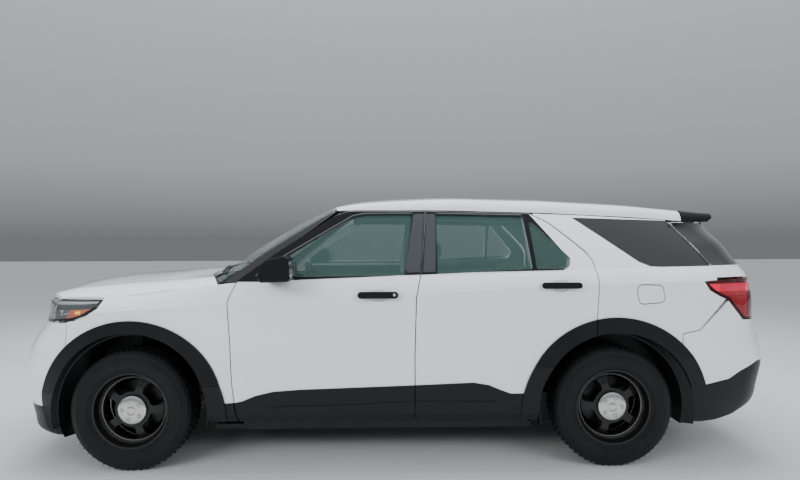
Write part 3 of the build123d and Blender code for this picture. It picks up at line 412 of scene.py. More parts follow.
def close(piece, body, material, angle=35.0, merge=0.00001):
    """Close the open piece: merge doubles, face outwards, smooth by angle, finish it and tie it to a body."""
    bpy.ops.mesh.select_all(action="SELECT")
    bpy.ops.mesh.remove_doubles(threshold=merge)
    bpy.ops.mesh.normals_make_consistent(inside=False)
    bpy.ops.object.mode_set(mode="OBJECT")
    bpy.ops.object.shade_smooth_by_angle(angle=math.radians(angle))
    piece.data.materials.clear()
    piece.data.materials.append(material)
    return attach(piece, body)


def twin(piece, name, body, flip=False, move=(0.0, 0.0, 0.0)):
    """A copy with its own mesh, moved, or flipped to the car's other side."""
    nothing_selected()
    piece.select_set(True)
    bpy.context.view_layer.objects.active = piece
    bpy.ops.object.duplicate(linked=False)
    copy = bpy.context.object
    copy.name = name
    bpy.ops.object.mode_set(mode="EDIT")
    bpy.ops.mesh.select_all(action="SELECT")
    if flip:
        bpy.ops.transform.resize(value=(1, -1, 1), center_override=(0, 0, 0))
        bpy.ops.mesh.normals_make_consistent(inside=False)
    bpy.ops.transform.translate(value=move)
    bpy.ops.object.mode_set(mode="OBJECT")
    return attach(copy, body)


def apply_modifier(piece, kind, **values):
    """Add a modifier with these values and apply it; the piece is closed first and open again after."""
    bpy.ops.object.mode_set(mode="OBJECT")
    made = piece.modifiers.new(kind.lower(), kind)
    for key, value in values.items():
        setattr(made, key, value)
    bpy.ops.object.modifier_apply(modifier=made.name)
    bpy.ops.object.mode_set(mode="EDIT")


def profile_line(name, profile, centre):
    """A chain of edges through (radius, across) points above a wheel's axle, open and selected."""
    x, y, z = centre
    piece = start(name, "plane", size=0.01, location=(x, y + profile[0][1], z + profile[0][0]))
    bpy.ops.mesh.merge(type="CENTER")
    for before, after in zip(profile, profile[1:]):
        step = (0, after[1] - before[1], after[0] - before[0])
        bpy.ops.mesh.extrude_region_move(TRANSFORM_OT_translate={"value": step})
    bpy.ops.mesh.select_all(action="SELECT")
    return piece


def lathe(name, profile, centre, steps=72):
    """Turn a profile of (radius, across) points about a wheel's axle; the piece is left open."""
    piece = profile_line(name, profile, centre)
    bpy.ops.mesh.spin(steps=steps, angle=math.tau, center=centre, axis=(0, 1, 0))
    bpy.ops.mesh.select_all(action="SELECT")
    bpy.ops.mesh.remove_doubles(threshold=0.00001)
    return piece


def soften(offset, segments, sharper_than=60.0, clamp=False):
    """Bevel every edge of the open piece that is sharper than an angle in degrees."""
    pick("edges", lambda edge: edge.is_manifold and edge.calc_face_angle() > math.radians(sharper_than))
    bpy.ops.mesh.bevel(offset=offset, segments=segments, affect="EDGES", clamp_overlap=clamp)


def rounded_plate(name, middle, size, corner, segments, rotation=(0, 0, 0)):
    """A plate that faces +X with rounded corners; it is left open with its front face selected."""
    piece = start(name, "cube", size=1.0, location=middle, rotation=rotation, scale=size)
    pick("edges", lambda edge: abs((edge.verts[0].co - edge.verts[1].co).x) > 0.7 * size[0])
    bpy.ops.mesh.bevel(offset=corner, segments=segments, affect="EDGES")
    pick("faces", lambda face: face.normal.x > 0.9)
    return piece


def place_of(node):
    low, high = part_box(node)
    return [(a + b) / 2 for a, b in zip(low, high)]


SIDES = {"left": -1, "right": 1}
WHEELS = [(place, side) for place in ("front", "rear") for side in SIDES]

# %% [markdown]
# A tyre is a ring whose tread is cut into blocks. The profile of the sidewall and the ribs is drawn once as
# a chain of points and spun through one pitch of the tread: a block, a narrow slot, a block, a slot. The
# slots are pushed in, and the finished pitch is spun round with copies, which is how the mould of a real
# tyre is laid out too.

# %% Tyres with tread
TYRE_PITCHES = 60
# radius and across, from one bead to the middle of the tread, in metres
TYRE_HALF = [
    (0.2382, 0.1010), (0.2470, 0.1085), (0.2560, 0.1120), (0.2575, 0.1150), (0.2625, 0.1160),
    (0.2640, 0.1180), (0.2850, 0.1235), (0.3050, 0.1245), (0.3200, 0.1235), (0.3215, 0.1245),
    (0.3250, 0.1240), (0.3265, 0.1215), (0.3400, 0.1165), (0.3530, 0.1090), (0.3545, 0.1095),
    (0.3580, 0.1070), (0.3590, 0.1040), (0.3665, 0.0975), (0.3715, 0.0900), (0.3735, 0.0800),
    (0.3742, 0.0590), (0.3665, 0.0570), (0.3665, 0.0510), (0.3746, 0.0490), (0.3756, 0.0190),
    (0.3672, 0.0170), (0.3672, 0.0110), (0.3758, 0.0090),
]
TYRE_PROFILE = TYRE_HALF + [(radius, -across) for radius, across in reversed(TYRE_HALF)]
SLOT_DEPTH = 0.006
# degrees that a block and a slot take up round the tread, and where each slot of a pitch starts
BLOCK_TURN, SLOT_TURN = 2.2, 0.8
FIRST_SLOT, SECOND_SLOT = BLOCK_TURN, 2 * BLOCK_TURN + SLOT_TURN
TREAD_RADIUS = 0.3713
# how far across each rib lies, between its two grooves
OUTER_RIB, INNER_RIB = (0.060, 0.096), (0.020, 0.049)


def tyre(name, centre):
    x, y, z = centre
    piece = profile_line(name, TYRE_PROFILE, centre)
    for turn in (BLOCK_TURN, SLOT_TURN) * 2:
        bpy.ops.mesh.spin(steps=1, angle=math.radians(turn), center=centre, axis=(0, 1, 0))
    bpy.ops.mesh.select_all(action="SELECT")
    bpy.ops.mesh.remove_doubles(threshold=0.00001)

    def in_slot(face, first, rib):
        point = face.calc_center_median()
        angle = math.degrees(math.atan2(point.x - x, point.z - z))
        on_tread = math.hypot(point.x - x, point.z - z) > TREAD_RADIUS
        return on_tread and first < abs(angle) < first + SLOT_TURN and rib[0] < abs(point.y - y) < rib[1]

    pick("faces", lambda face: in_slot(face, FIRST_SLOT, OUTER_RIB) or in_slot(face, SECOND_SLOT, INNER_RIB))
    bpy.ops.mesh.extrude_region_shrink_fatten(TRANSFORM_OT_shrink_fatten={"value": -SLOT_DEPTH})
    bpy.ops.mesh.select_all(action="SELECT")
    pitch = math.tau / TYRE_PITCHES
    bpy.ops.mesh.spin(
        steps=TYRE_PITCHES - 1, dupli=True, angle=pitch * (TYRE_PITCHES - 1), center=centre, axis=(0, 1, 0)
    )
    return piece


first_tyre = tyre("tyre_tread_front_left", place_of("tyre_front_left"))
close(first_tyre, "front_wheel_body_left", tyre_rubber, angle=32)
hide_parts("tyre_front_left")
WHEELBASE = place_of("tyre_rear_left")[0] - place_of("tyre_front_left")[0]
for place, side in (("rear", "left"), ("front", "right"), ("rear", "right")):
    shift = (WHEELBASE if place == "rear" else 0.0, 0.0, 0.0)
    copy = twin(first_tyre, f"tyre_tread_{place}_{side}", f"{place}_wheel_body_{side}",
                side == "right", shift)
    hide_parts(f"tyre_{place}_{side}")
print("tyre faces", len(first_tyre.data.polygons), "wheelbase", round(WHEELBASE, 3))

# %% [markdown]
# The steel wheel keeps the CAD's shape, but a pressed wheel has no knife edges: each window has a rolled
# lip that the light catches, and so has the rim. So a copy of the CAD wheel is opened, its flat facets are
# dissolved into clean faces, the edges round the windows and the rim are bevelled, and the bevels get a
# paler, brighter finish, a painted highlight where the light catches the lips. The polished cap over the
# hub, with five bumps for the wheel nuts, is turned like a bowl.

# %% Bright finishes
chrome = finish(
    "brushed_chrome", spray, {"Paint": (0.62, 0.61, 0.59, 1), "Dust Amount": 0.25, "Gloss": 0.16},
    bump=0.00002, metallic=1.0,
)
# a paler black steel: painted highlight on the wheels' rolled lips and on the ring round the disc
painted_highlight_steel = finish(
    "black_steel_painted_highlight", spray, {"Paint": (0.22, 0.21, 0.20, 1), "Dust Amount": 0.1, "Gloss": 0.24},
    bump=0.00002, metallic=0.8,
)

# %% Wheels with rolled lips
LIP, LIP_ANGLE, SMOOTH_ANGLE = 0.0022, math.radians(38), math.radians(34)
# the middle of the hub, which the cap hides
HUB_RADIUS, HUB_OUT = 0.07, 0.0862
# radius and distance out, where the windows' edges and the rim's edge lie
WINDOW_RADII, WINDOW_OUTS, RIM_EDGE = (0.105, 0.196), (0.040, 0.075), (0.222, 0.09)


def open_copy(node, name):
    """A copy of a CAD node's mesh under a new name, merged and open in edit mode, to be shaped further."""
    nothing_selected()
    nodes[node].select_set(True)
    bpy.context.view_layer.objects.active = nodes[node]
    bpy.ops.object.duplicate(linked=False)
    piece = bpy.context.object
    piece.name = name
    piece.parent = None
    for key in list(piece.keys()):
        del piece[key]
    bpy.ops.object.mode_set(mode="EDIT")
    bpy.ops.mesh.select_all(action="SELECT")
    bpy.ops.mesh.remove_doubles(threshold=0.00001)
    bpy.ops.mesh.dissolve_limited(angle_limit=math.radians(0.6))
    return piece


def pressed_wheel(place, side):
    node = f"wheel_{place}_{side}"
    x, y, z = place_of(f"tyre_{place}_{side}")
    piece = open_copy(node, f"pressed_{node}")
    piece.data.materials.append(painted_highlight_steel)

    def on_the_wheel(point):
        return math.hypot(point.x - x, point.z - z), (point.y - y) * SIDES[side]

    def on_the_hub(vert):
        radius, out = on_the_wheel(vert.co)
        return out > HUB_OUT and radius < HUB_RADIUS

    def on_a_lip(edge):
        radius, out = on_the_wheel((edge.verts[0].co + edge.verts[1].co) / 2)
        at_window = WINDOW_RADII[0] < radius < WINDOW_RADII[1] and WINDOW_OUTS[0] < out < WINDOW_OUTS[1]
        at_rim = radius > RIM_EDGE[0] and out > RIM_EDGE[1]
        return edge.is_manifold and edge.calc_face_angle() > LIP_ANGLE and (at_window or at_rim)

    pick("verts", on_the_hub)
    bpy.ops.mesh.delete(type="VERT")

    print(node, "lip edges", pick("edges", on_a_lip))
    # the bevels take the second finish, the painted highlight
    bpy.ops.mesh.bevel(offset=LIP, offset_type="OFFSET", segments=2, material=1, clamp_overlap=True)
    bpy.ops.mesh.select_all(action="SELECT")
    bpy.ops.mesh.normals_make_consistent(inside=False)
    bpy.ops.mesh.quads_convert_to_tris()
    bpy.ops.object.mode_set(mode="OBJECT")
    bpy.ops.object.shade_smooth_by_angle(angle=SMOOTH_ANGLE)
    evened = piece.modifiers.new("evened", "WEIGHTED_NORMAL")
    evened.mode, evened.weight, evened.keep_sharp = "FACE_AREA", 80, True
    bpy.ops.object.modifier_apply(modifier="evened")
    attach(piece, f"{place}_wheel_body_{side}")
    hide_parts(node)
    return piece


for place, side in WHEELS:
    pressed_wheel(place, side)

# %% Wheel caps
# radius and distance out from the wheel's middle plane
CAP_PROFILE = [
    (0.0870, 0.0770), (0.0890, 0.0785), (0.0880, 0.0810), (0.0800, 0.0850), (0.0700, 0.0880),
    (0.0400, 0.0895), (0.0270, 0.0900), (0.0255, 0.0890), (0.0240, 0.0900), (0.0120, 0.0905),
    (0.0010, 0.0906),
]
BUMP_CIRCLE, BUMP_RADIUS, BUMP_OUT, BUMP_FLATNESS = 0.0570, 0.0130, 0.0885, 0.6
# degrees that the bumps are turned on each axle
CAP_TURN = {"front": 36, "rear": 0}


def wheel_cap(place, side):
    x, y, z = place_of(f"tyre_{place}_{side}")
    sign = SIDES[side]
    profile = [(radius, sign * out) for radius, out in CAP_PROFILE]
    piece = lathe(f"hub_cap_{place}_{side}", profile, (x, y, z), steps=60)
    for k in range(5):
        angle = math.radians(CAP_TURN[place]) + k * math.tau / 5
        spot = (x + BUMP_CIRCLE * math.cos(angle), y + sign * BUMP_OUT, z + BUMP_CIRCLE * math.sin(angle))
        bpy.ops.mesh.select_all(action="DESELECT")
        bpy.ops.mesh.primitive_uv_sphere_add(segments=20, ring_count=12, radius=BUMP_RADIUS, location=spot)
        bpy.ops.transform.resize(value=(1, BUMP_FLATNESS, 1), center_override=spot)
    return close(piece, f"{place}_wheel_body_{side}", chrome, angle=40)


for place, side in WHEELS:
    cap = wheel_cap(place, side)
print("caps 4, faces each", len(cap.data.polygons))

# %% The brighter ring where the disc meets the rim, with a painted highlight
RING_PROFILE = [
    (0.2010, 0.0494), (0.2005, 0.0508), (0.1990, 0.0506), (0.1972, 0.0490), (0.1966, 0.0478),
    (0.1975, 0.0462),
]
for place, side in WHEELS:
    profile = [(radius, SIDES[side] * out) for radius, out in RING_PROFILE]
    ring = lathe(f"disc_ring_{place}_{side}", profile, place_of(f"tyre_{place}_{side}"), steps=96)
    close(ring, f"{place}_wheel_body_{side}", painted_highlight_steel, angle=50)
print("rings 4")

# %% [markdown]
# Behind each wheel disc stands a thin shield that keeps dirt off the brake, and the wheel arch is lined
# right out to the black lip, so that no daylight shows round the wheel. The lining is a cone: one circle at
# the liner, one at the lip, bridged, cut off above the floor and thickened.

# %% Brake shields
SHIELD_RADIUS, SHIELD_THICK, SHIELD_ACROSS = 0.2215, 0.002, 0.0985
# width of each step towards the middle, and how far it comes out
SHIELD_STEPS = [(0.012, -0.006), (0.075, 0.008)]
for place, side in WHEELS:
    x, y, z = place_of(f"tyre_{place}_{side}")
    sign = SIDES[side]
    spot = (x, y - sign * SHIELD_ACROSS, z)
    shield = start(f"brake_shield_{place}_{side}", "cylinder", vertices=64, radius=SHIELD_RADIUS,
                   depth=SHIELD_THICK, location=spot, rotation=(math.pi / 2, 0, 0))
    pick("faces", lambda face: face.normal.y * sign > 0.9)
    for wide, out in SHIELD_STEPS:
        bpy.ops.mesh.inset(thickness=wide)
        bpy.ops.transform.translate(value=(0, sign * out, 0))
    body = f"knuckle_body_{side}" if place == "front" else "body"
    close(shield, body, chassis_steel)
print("shields 4")

# %% Arch linings
LINER_RADIUS = {"front": 0.474, "rear": 0.464}
LINER_EDGE, LIP_EDGE = 0.909, 0.938
# offset of the lip's circle from the axle, and its radius
ARCH = {"front": (-0.010, -0.007, 0.4895), "rear": (0.020, -0.029, 0.5015)}
LINING_FOOT, LINING_THICK = 0.262, 0.003


def arch_lining(place, side):
    x, y, z = place_of(f"tyre_{place}_{side}")
    dx, dz, radius = ARCH[place]
    sign = SIDES[side]
    piece = start(f"arch_lining_{place}_{side}", "circle", vertices=96, radius=LINER_RADIUS[place],
                  location=(x, sign * LINER_EDGE, z), rotation=(math.pi / 2, 0, 0))
    bpy.ops.mesh.select_all(action="DESELECT")
    bpy.ops.mesh.primitive_circle_add(vertices=96, radius=radius, location=(x + dx, sign * LIP_EDGE, z + dz),
                                      rotation=(math.pi / 2, 0, 0))
    bpy.ops.mesh.select_all(action="SELECT")
    bpy.ops.mesh.bridge_edge_loops()
    bpy.ops.mesh.select_all(action="SELECT")
    bpy.ops.mesh.bisect(plane_co=(0, 0, LINING_FOOT), plane_no=(0, 0, 1), clear_inner=True)
    apply_modifier(piece, "SOLIDIFY", thickness=LINING_THICK, offset=1.0)
    return close(piece, "body", black_plastic)


for place, side in WHEELS:
    arch_lining(place, side)
print("linings 4")

# %% Air deflectors ahead of the front wheels
FLAP_X, FLAP_Y, FLAP_Z, FLAP_SIZE = -2.112, 0.815, 0.228, (0.006, 0.21, 0.125)
# how far the lower edge stands back, and how far its outer corner is drawn in and up
FLAP_SLANT, CORNER_IN, CORNER_UP = 0.028, 0.03, 0.03
for side, sign in SIDES.items():
    flap = start(f"air_deflector_{side}", "cube", size=1.0, location=(FLAP_X, sign * FLAP_Y, FLAP_Z),
                 scale=FLAP_SIZE)
    pick("verts", lambda vert: vert.co.z < FLAP_Z)
    bpy.ops.transform.translate(value=(FLAP_SLANT, 0, 0))
    pick("verts", lambda vert: vert.co.z < FLAP_Z and abs(vert.co.y) > FLAP_Y)
    bpy.ops.transform.translate(value=(0.0, -sign * CORNER_IN, CORNER_UP))
    bpy.ops.mesh.select_all(action="SELECT")
    bpy.ops.mesh.bevel(offset=0.002, segments=2)
    close(flap, "body", black_plastic)
print("deflectors 2")

# %% [markdown]
# Thin things that lie on curved bodywork, such as lamp bars, cover strips and a lip, are drawn flat in side
# view and then laid on the CAD's surface: a grid is cut to the outline with bisect, projected along Y on to
# the node with a shrinkwrap modifier, and thickened. The piece follows the body exactly, and its outline is
# the one that is seen.

# %% Helper: lay a flat outline on the side of a node
# the flat outline starts outside the car, and reaches it within this distance; what misses is still outside
OUTSIDE, REACH, MISSED = 1.3, 0.9, 1.2


def thicken(piece, sign, thickness):
    """Turn the open sheet to face out from the car's side, and give it thickness on that side."""
    bpy.ops.mesh.normals_make_consistent(inside=False)
    if sum(face.normal.y for face in bmesh.from_edit_mesh(piece.data).faces) * sign < 0:
        bpy.ops.mesh.flip_normals()
    apply_modifier(piece, "SOLIDIFY", thickness=thickness, offset=1.0)


def on_side(name, side, outline, node, lift, thickness, step=0.02):
    """outline: corners (x, z) of a convex shape, in order round it, in metres. Left open in edit mode."""
    sign = SIDES[side]
    xs, zs = [p[0] for p in outline], [p[1] for p in outline]
    wide, high = max(xs) - min(xs), max(zs) - min(zs)
    middle = ((max(xs) + min(xs)) / 2, (max(zs) + min(zs)) / 2)
    columns, rows = max(2, round(wide / step)), max(2, round(high / step))
    piece = start(name, "grid", x_subdivisions=columns, y_subdivisions=rows, size=1.0,
                  scale=(wide, high, 1.0),
                  location=(middle[0], sign * OUTSIDE, middle[1]), rotation=(math.pi / 2, 0, 0))
    turning = sum(a[0] * b[1] - b[0] * a[1] for a, b in zip(outline, outline[1:] + outline[:1]))
    for a, b in zip(outline, outline[1:] + outline[:1]):
        out = (b[1] - a[1], a[0] - b[0]) if turning > 0 else (a[1] - b[1], b[0] - a[0])
        bpy.ops.mesh.select_all(action="SELECT")
        bpy.ops.mesh.bisect(plane_co=(a[0], 0, a[1]), plane_no=(out[0], 0, out[1]), clear_outer=True)
    apply_modifier(piece, "SHRINKWRAP", target=nodes[node], wrap_method="PROJECT", use_project_y=True,
                   use_negative_direction=True, use_positive_direction=True, offset=0.0, project_limit=REACH)
    if pick("verts", lambda vert: abs(vert.co.y) > MISSED):
        bpy.ops.mesh.delete(type="VERT")
    bpy.ops.mesh.select_all(action="SELECT")
    bpy.ops.transform.translate(value=(0, sign * lift, 0))
    thicken(piece, sign, thickness)
    return piece


# %% [markdown]
# Behind its clear cover a head lamp is a dark bowl with a bright ledge, a turn lamp under an amber lens, a
# few thin chromed edges and two crossed silver strips that are painted glints, and a black seal runs round
# it. The tail lamp is dark at its edge, bright along the top and ribbed below. Each of these is a thin piece
# on the lamp's surface, so the lamp has its layers from every side.

# %% Head lamps
amber = pane("amber_lens", (0.34, 0.095, 0.055), 0.0, 0.12)
amber_lit = pane("amber_bulb", (1.0, 0.52, 0.04), 0.0, 0.12)
lamp_ledge = pane("lamp_ledge", (0.22, 0.225, 0.25), 0.0, 0.15)
lamp_dark = pane("lamp_dark", (0.030, 0.036, 0.040), 0.0, 0.10)
# a silver finish for the lamp's chromed edges and the lock, also used for painted glints
silver_and_painted_glint = finish(
    "silver_and_painted_glint", spray, {"Paint": (0.75, 0.76, 0.78, 1), "Dust Amount": 0.0, "Gloss": 0.12},
    metallic=0.6,
)

# how far each layer lies off the lamp's cover, how thick it is, and how fine its grid
LOW, MIDDLE, HIGH = 0.0010, 0.0024, 0.0038
LAYER_THICK, LAYER_STEP = 0.0012, 0.008
HEAD_LAMP_LAYERS = [
    # name, outline, lift, finish
    ("ledge", [(-2.160, 1.046), (-1.862, 1.052), (-1.868, 1.040), (-2.176, 1.026)], LOW, lamp_ledge),
    ("bowl", [(-2.176, 1.022), (-1.873, 1.036), (-1.900, 1.012), (-2.196, 0.991)], LOW, lamp_dark),
    ("amber", [(-2.039, 1.000), (-1.901, 1.008), (-1.924, 0.992), (-1.971, 0.967), (-2.070, 0.944)],
     LOW, amber),
    ("bulb", [(-2.003, 0.990), (-1.968, 0.993), (-1.965, 0.980), (-1.982, 0.975), (-2.001, 0.977)],
     MIDDLE, amber_lit),
    ("front_line", [(-2.228, 1.018), (-2.219, 1.020), (-2.254, 0.968), (-2.262, 0.966)], LOW, silver_and_painted_glint),
    ("second_line", [(-2.182, 1.020), (-2.175, 1.020), (-2.196, 0.972), (-2.203, 0.971)],
     MIDDLE, silver_and_painted_glint),
    ("corner_shade", [(-2.258, 0.955), (-2.176, 0.966), (-2.186, 0.932), (-2.250, 0.922)], LOW, lamp_ledge),
    # two crossed silver strips: painted glints on the lamp's cover
    ("painted_glint_a", [(-2.142, 0.994), (-2.133, 0.995), (-2.103, 0.979), (-2.112, 0.977)], MIDDLE, silver_and_painted_glint),
    ("painted_glint_b", [(-2.106, 0.997), (-2.096, 0.997), (-2.108, 0.978), (-2.117, 0.979)], HIGH, silver_and_painted_glint),
    ("shelf", [(-2.129, 0.967), (-2.046, 0.980), (-2.046, 0.976), (-2.129, 0.962)], LOW, silver_and_painted_glint),
    ("seal_top", [(-2.200, 1.0595), (-1.848, 1.0620), (-1.856, 1.0530), (-2.190, 1.0500)], LOW, gloss_black),
    ("seal_tail", [(-1.848, 1.0620), (-1.870, 1.0165), (-1.881, 1.0210), (-1.861, 1.0560)], LOW, gloss_black),
    ("seal_rear", [(-1.870, 1.0165), (-1.943, 0.9655), (-1.949, 0.9760), (-1.881, 1.0220)], LOW, gloss_black),
    ("seal_foot", [(-1.943, 0.9655), (-2.017, 0.9385), (-2.020, 0.9500), (-1.949, 0.9770)], LOW, gloss_black),
    ("seal_front", [(-2.017, 0.9385), (-2.245, 0.9150), (-2.244, 0.9270), (-2.020, 0.9510)],
     LOW, gloss_black),
]
for side in SIDES:
    for label, outline, lift, material in HEAD_LAMP_LAYERS:
        piece = on_side(f"head_lamp_{label}_{side}", side, outline, "headlamps",
                        lift, LAYER_THICK, LAYER_STEP)
        close(piece, "body", material)
print("head lamp pieces", 2 * len(HEAD_LAMP_LAYERS))

# %% Tail lamps
deep_red = pane("deep_red", (0.060, 0.004, 0.008), 0.0, 0.08)
rib_red = pane("rib_red", (0.17, 0.002, 0.010), 0.0, 0.08)
bar_red = pane("bar_red", (0.55, 0.010, 0.045), 0.0, 0.08)
bright_red = pane("bright_red", (0.85, 0.012, 0.050), 0.0, 0.08)
strip_red = pane("strip_red", (1.0, 0.060, 0.120), 0.0, 0.08)
TAIL_LAMP_LAYERS = [
    ("top_band", [(1.998, 1.157), (2.330, 1.172), (2.322, 1.151), (2.010, 1.151)], LOW, deep_red),
    ("bar_tip", [(2.006, 1.149), (2.088, 1.149), (2.084, 1.100), (2.053, 1.107)], LOW, bright_red),
    ("bar", [(2.088, 1.149), (2.312, 1.148), (2.302, 1.099), (2.084, 1.099)], LOW, bar_red),
    ("strip", [(2.314, 1.148), (2.362, 1.146), (2.356, 1.097), (2.304, 1.098)], LOW, strip_red),
    ("rear_edge", [(2.320, 1.092), (2.362, 1.090), (2.352, 0.985), (2.326, 0.934), (2.306, 0.945)],
     LOW, deep_red),
    ("seal_tip", [(1.979, 1.1610), (2.018, 1.1135), (2.032, 1.1180), (1.999, 1.1560)], LOW, gloss_black),
    ("seal_front", [(2.018, 1.1135), (2.081, 1.0775), (2.087, 1.0900), (2.031, 1.1200)], LOW, gloss_black),
    ("seal_notch", [(2.081, 1.0775), (2.150, 1.0500), (2.159, 1.0610), (2.086, 1.0910)], LOW, gloss_black),
    ("seal_slope", [(2.150, 1.0500), (2.268, 0.9230), (2.279, 0.9330), (2.160, 1.0620)], LOW, gloss_black),
    ("seal_foot", [(2.268, 0.9230), (2.344, 0.9140), (2.338, 0.9270), (2.278, 0.9345)], LOW, gloss_black),
    ("seal_top", [(1.979, 1.1610), (2.345, 1.1785), (2.345, 1.1715), (1.990, 1.1550)], MIDDLE, gloss_black),
]
# each rib lies below the one before, starts further back and ends a little further forward
RIBS, RIB_DROP, RIB_BACK, RIB_FORWARD = 7, 0.0182, 0.0186, 0.0012
for k in range(RIBS):
    back, forward, drop = RIB_BACK * k, RIB_FORWARD * k, RIB_DROP * k
    TAIL_LAMP_LAYERS.append((f"rib_{k + 1}", [
        (2.153 + back, 1.0720 - drop), (2.304 - forward, 1.0700 - drop),
        (2.303 - forward, 1.0640 - drop), (2.160 + back, 1.0650 - drop),
    ], LOW, rib_red))
for side in SIDES:
    for label, outline, lift, material in TAIL_LAMP_LAYERS:
        piece = on_side(f"tail_lamp_{label}_{side}", side, outline, "tail_lamps",
                        lift, LAYER_THICK, LAYER_STEP)
        close(piece, "body", material)
print("tail lamp pieces", 2 * len(TAIL_LAMP_LAYERS))

# %% [markdown]
# The doors carry small trim. Glossy covers hide the posts between the windows, and a satin strip follows
# the upper edge of each window between two dark seals. They are laid on the doors' own trim, so they swing
# with the doors.

# %% Post covers and window strips
# gloss black whose base colour is lifted to a blue-grey: partly painted reflection of the sky
gloss_black_painted_sky = finish(
    "gloss_black_painted_sky", spray, {"Paint": (0.022, 0.025, 0.030, 1), "Dust Amount": 0.05, "Gloss": 0.10},
    bump=0.00001, coat_weight=1.0, coat_roughness=0.03,
)
satin_strip = finish(
    "satin_strip", spray, {"Paint": (0.085, 0.090, 0.100, 1), "Dust Amount": 0.1, "Gloss": 0.3},
)
POST_COVERS = {
    "front": [(0.066, 1.228), (0.160, 1.231), (0.197, 1.609), (0.127, 1.607)],
    "rear": [(0.180, 1.231), (0.259, 1.233), (0.274, 1.607), (0.214, 1.608)],
}
WINDOW_EDGES = {
    "front": [(-0.868, 1.204), (-0.700, 1.326), (-0.275, 1.585), (-0.205, 1.601), (0.118, 1.603)],
    "rear": [(0.282, 1.601), (0.856, 1.590)],
}
STRIP_NEAR, STRIP_FAR = 0.008, 0.015
TRIM_LIFT, COVER_THICK, STRIP_THICK = 0.0006, 0.0014, 0.0012
# how fine the grids are
COVER_STEP, STRIP_STEP = 0.012, 0.015


def beside(points, near, far):
    """Quads of a strip that runs beside a chain of (x, z) points, between two distances to its left."""
    sides = []
    for (ax, az), (bx, bz) in zip(points, points[1:]):
        length = math.hypot(bx - ax, bz - az)
        sides.append(((az - bz) / length, (bx - ax) / length))

    def moved(k, distance):
        first, second = sides[max(k - 1, 0)], sides[min(k, len(sides) - 1)]
        reach = distance / (1 + first[0] * second[0] + first[1] * second[1])
        return points[k][0] + (first[0] + second[0]) * reach, points[k][1] + (first[1] + second[1]) * reach

    return [
        [moved(k, near), moved(k + 1, near), moved(k + 1, far), moved(k, far)]
        for k in range(len(points) - 1)
    ]


for side in SIDES:
    for place in ("front", "rear"):
        trim, body = f"{place}_door_trim_{side}", f"{place}_door_body_{side}"
        cover = on_side(f"post_cover_{place}_{side}", side, POST_COVERS[place], trim,
                        TRIM_LIFT, COVER_THICK, COVER_STEP)
        close(cover, body, gloss_black_painted_sky)
        for k, quad in enumerate(beside(WINDOW_EDGES[place], STRIP_NEAR, STRIP_FAR)):
            strip = on_side(f"window_strip_{place}_{side}_{k + 1}", side, quad, trim,
                            TRIM_LIFT, STRIP_THICK, STRIP_STEP)
            close(strip, body, satin_strip)
print("covers 4, strips 10")

# %% [markdown]
# The rearmost post is hidden by a dark cover, and the tailgate's edge beside it is dark too, so that the
# glass seems to run right round the corner. Each cover is a ribbon: an edge as wide as the post, extruded
# from station to station down the slope of the glass, and then thickened.

# %% Covers on the rearmost posts
# x and z of the cover's front edge at each station down the slope
POST_STATIONS = [(1.8550, 1.560), (1.8785, 1.525), (1.9475, 1.423), (2.0120, 1.325), (2.0465, 1.272)]
GATE_STATIONS = [(1.8835, 1.542), (1.8950, 1.525), (1.9640, 1.423), (2.0285, 1.325), (2.0630, 1.272)]
# name, stations, width, the glass it follows, step on to that glass, how far it stands out, body
REAR_COVERS = [
    ("post", POST_STATIONS, 0.0085, "quarter_glass", -0.004, 0.0008, "body"),
    ("gate", GATE_STATIONS, 0.0055, "liftgate_glass", 0.006, 0.0020, "liftgate_body"),
]
RIBBON_THICK = 0.0016


def met(node, eye, way):
    """Where a straight line from a point, one way, first meets the node."""
    _, spot, _, _ = nodes[node].ray_cast(Vector(eye), Vector(way))
    return spot


def skin(node, side, x, z):
    """How far out the node lies, seen straight from the side at this x and z."""
    return met(node, (x, SIDES[side] * 2.0, z), (0, -SIDES[side], 0)).y


for label, stations, width, node, step_in, lift, body in REAR_COVERS:
    for side, sign in SIDES.items():
        spots = [(x, skin(node, side, x + step_in, z) + sign * lift, z) for x, z in stations]
        ribbon = start(f"rear_cover_{label}_{side}", "plane", size=0.01, location=spots[0])
        bpy.ops.mesh.merge(type="CENTER")
        bpy.ops.mesh.extrude_region_move(TRANSFORM_OT_translate={"value": (width, 0, 0)})
        bpy.ops.mesh.select_all(action="SELECT")
        for before, after in zip(spots, spots[1:]):
            step = [b - a for a, b in zip(before, after)]
            bpy.ops.mesh.extrude_region_move(TRANSFORM_OT_translate={"value": step})
        bpy.ops.mesh.select_all(action="SELECT")
        thicken(ribbon, sign, RIBBON_THICK)
        close(ribbon, body, gloss_black_painted_sky)
print("rear covers", 2 * len(REAR_COVERS))

# %% [markdown]
# Each front handle ends in a lock: a small barrel with a collar round its sunk middle, shaped from a
# cylinder. Its place is found by a straight line on to the handle, so the barrel sits on it wherever the
# handle stands.

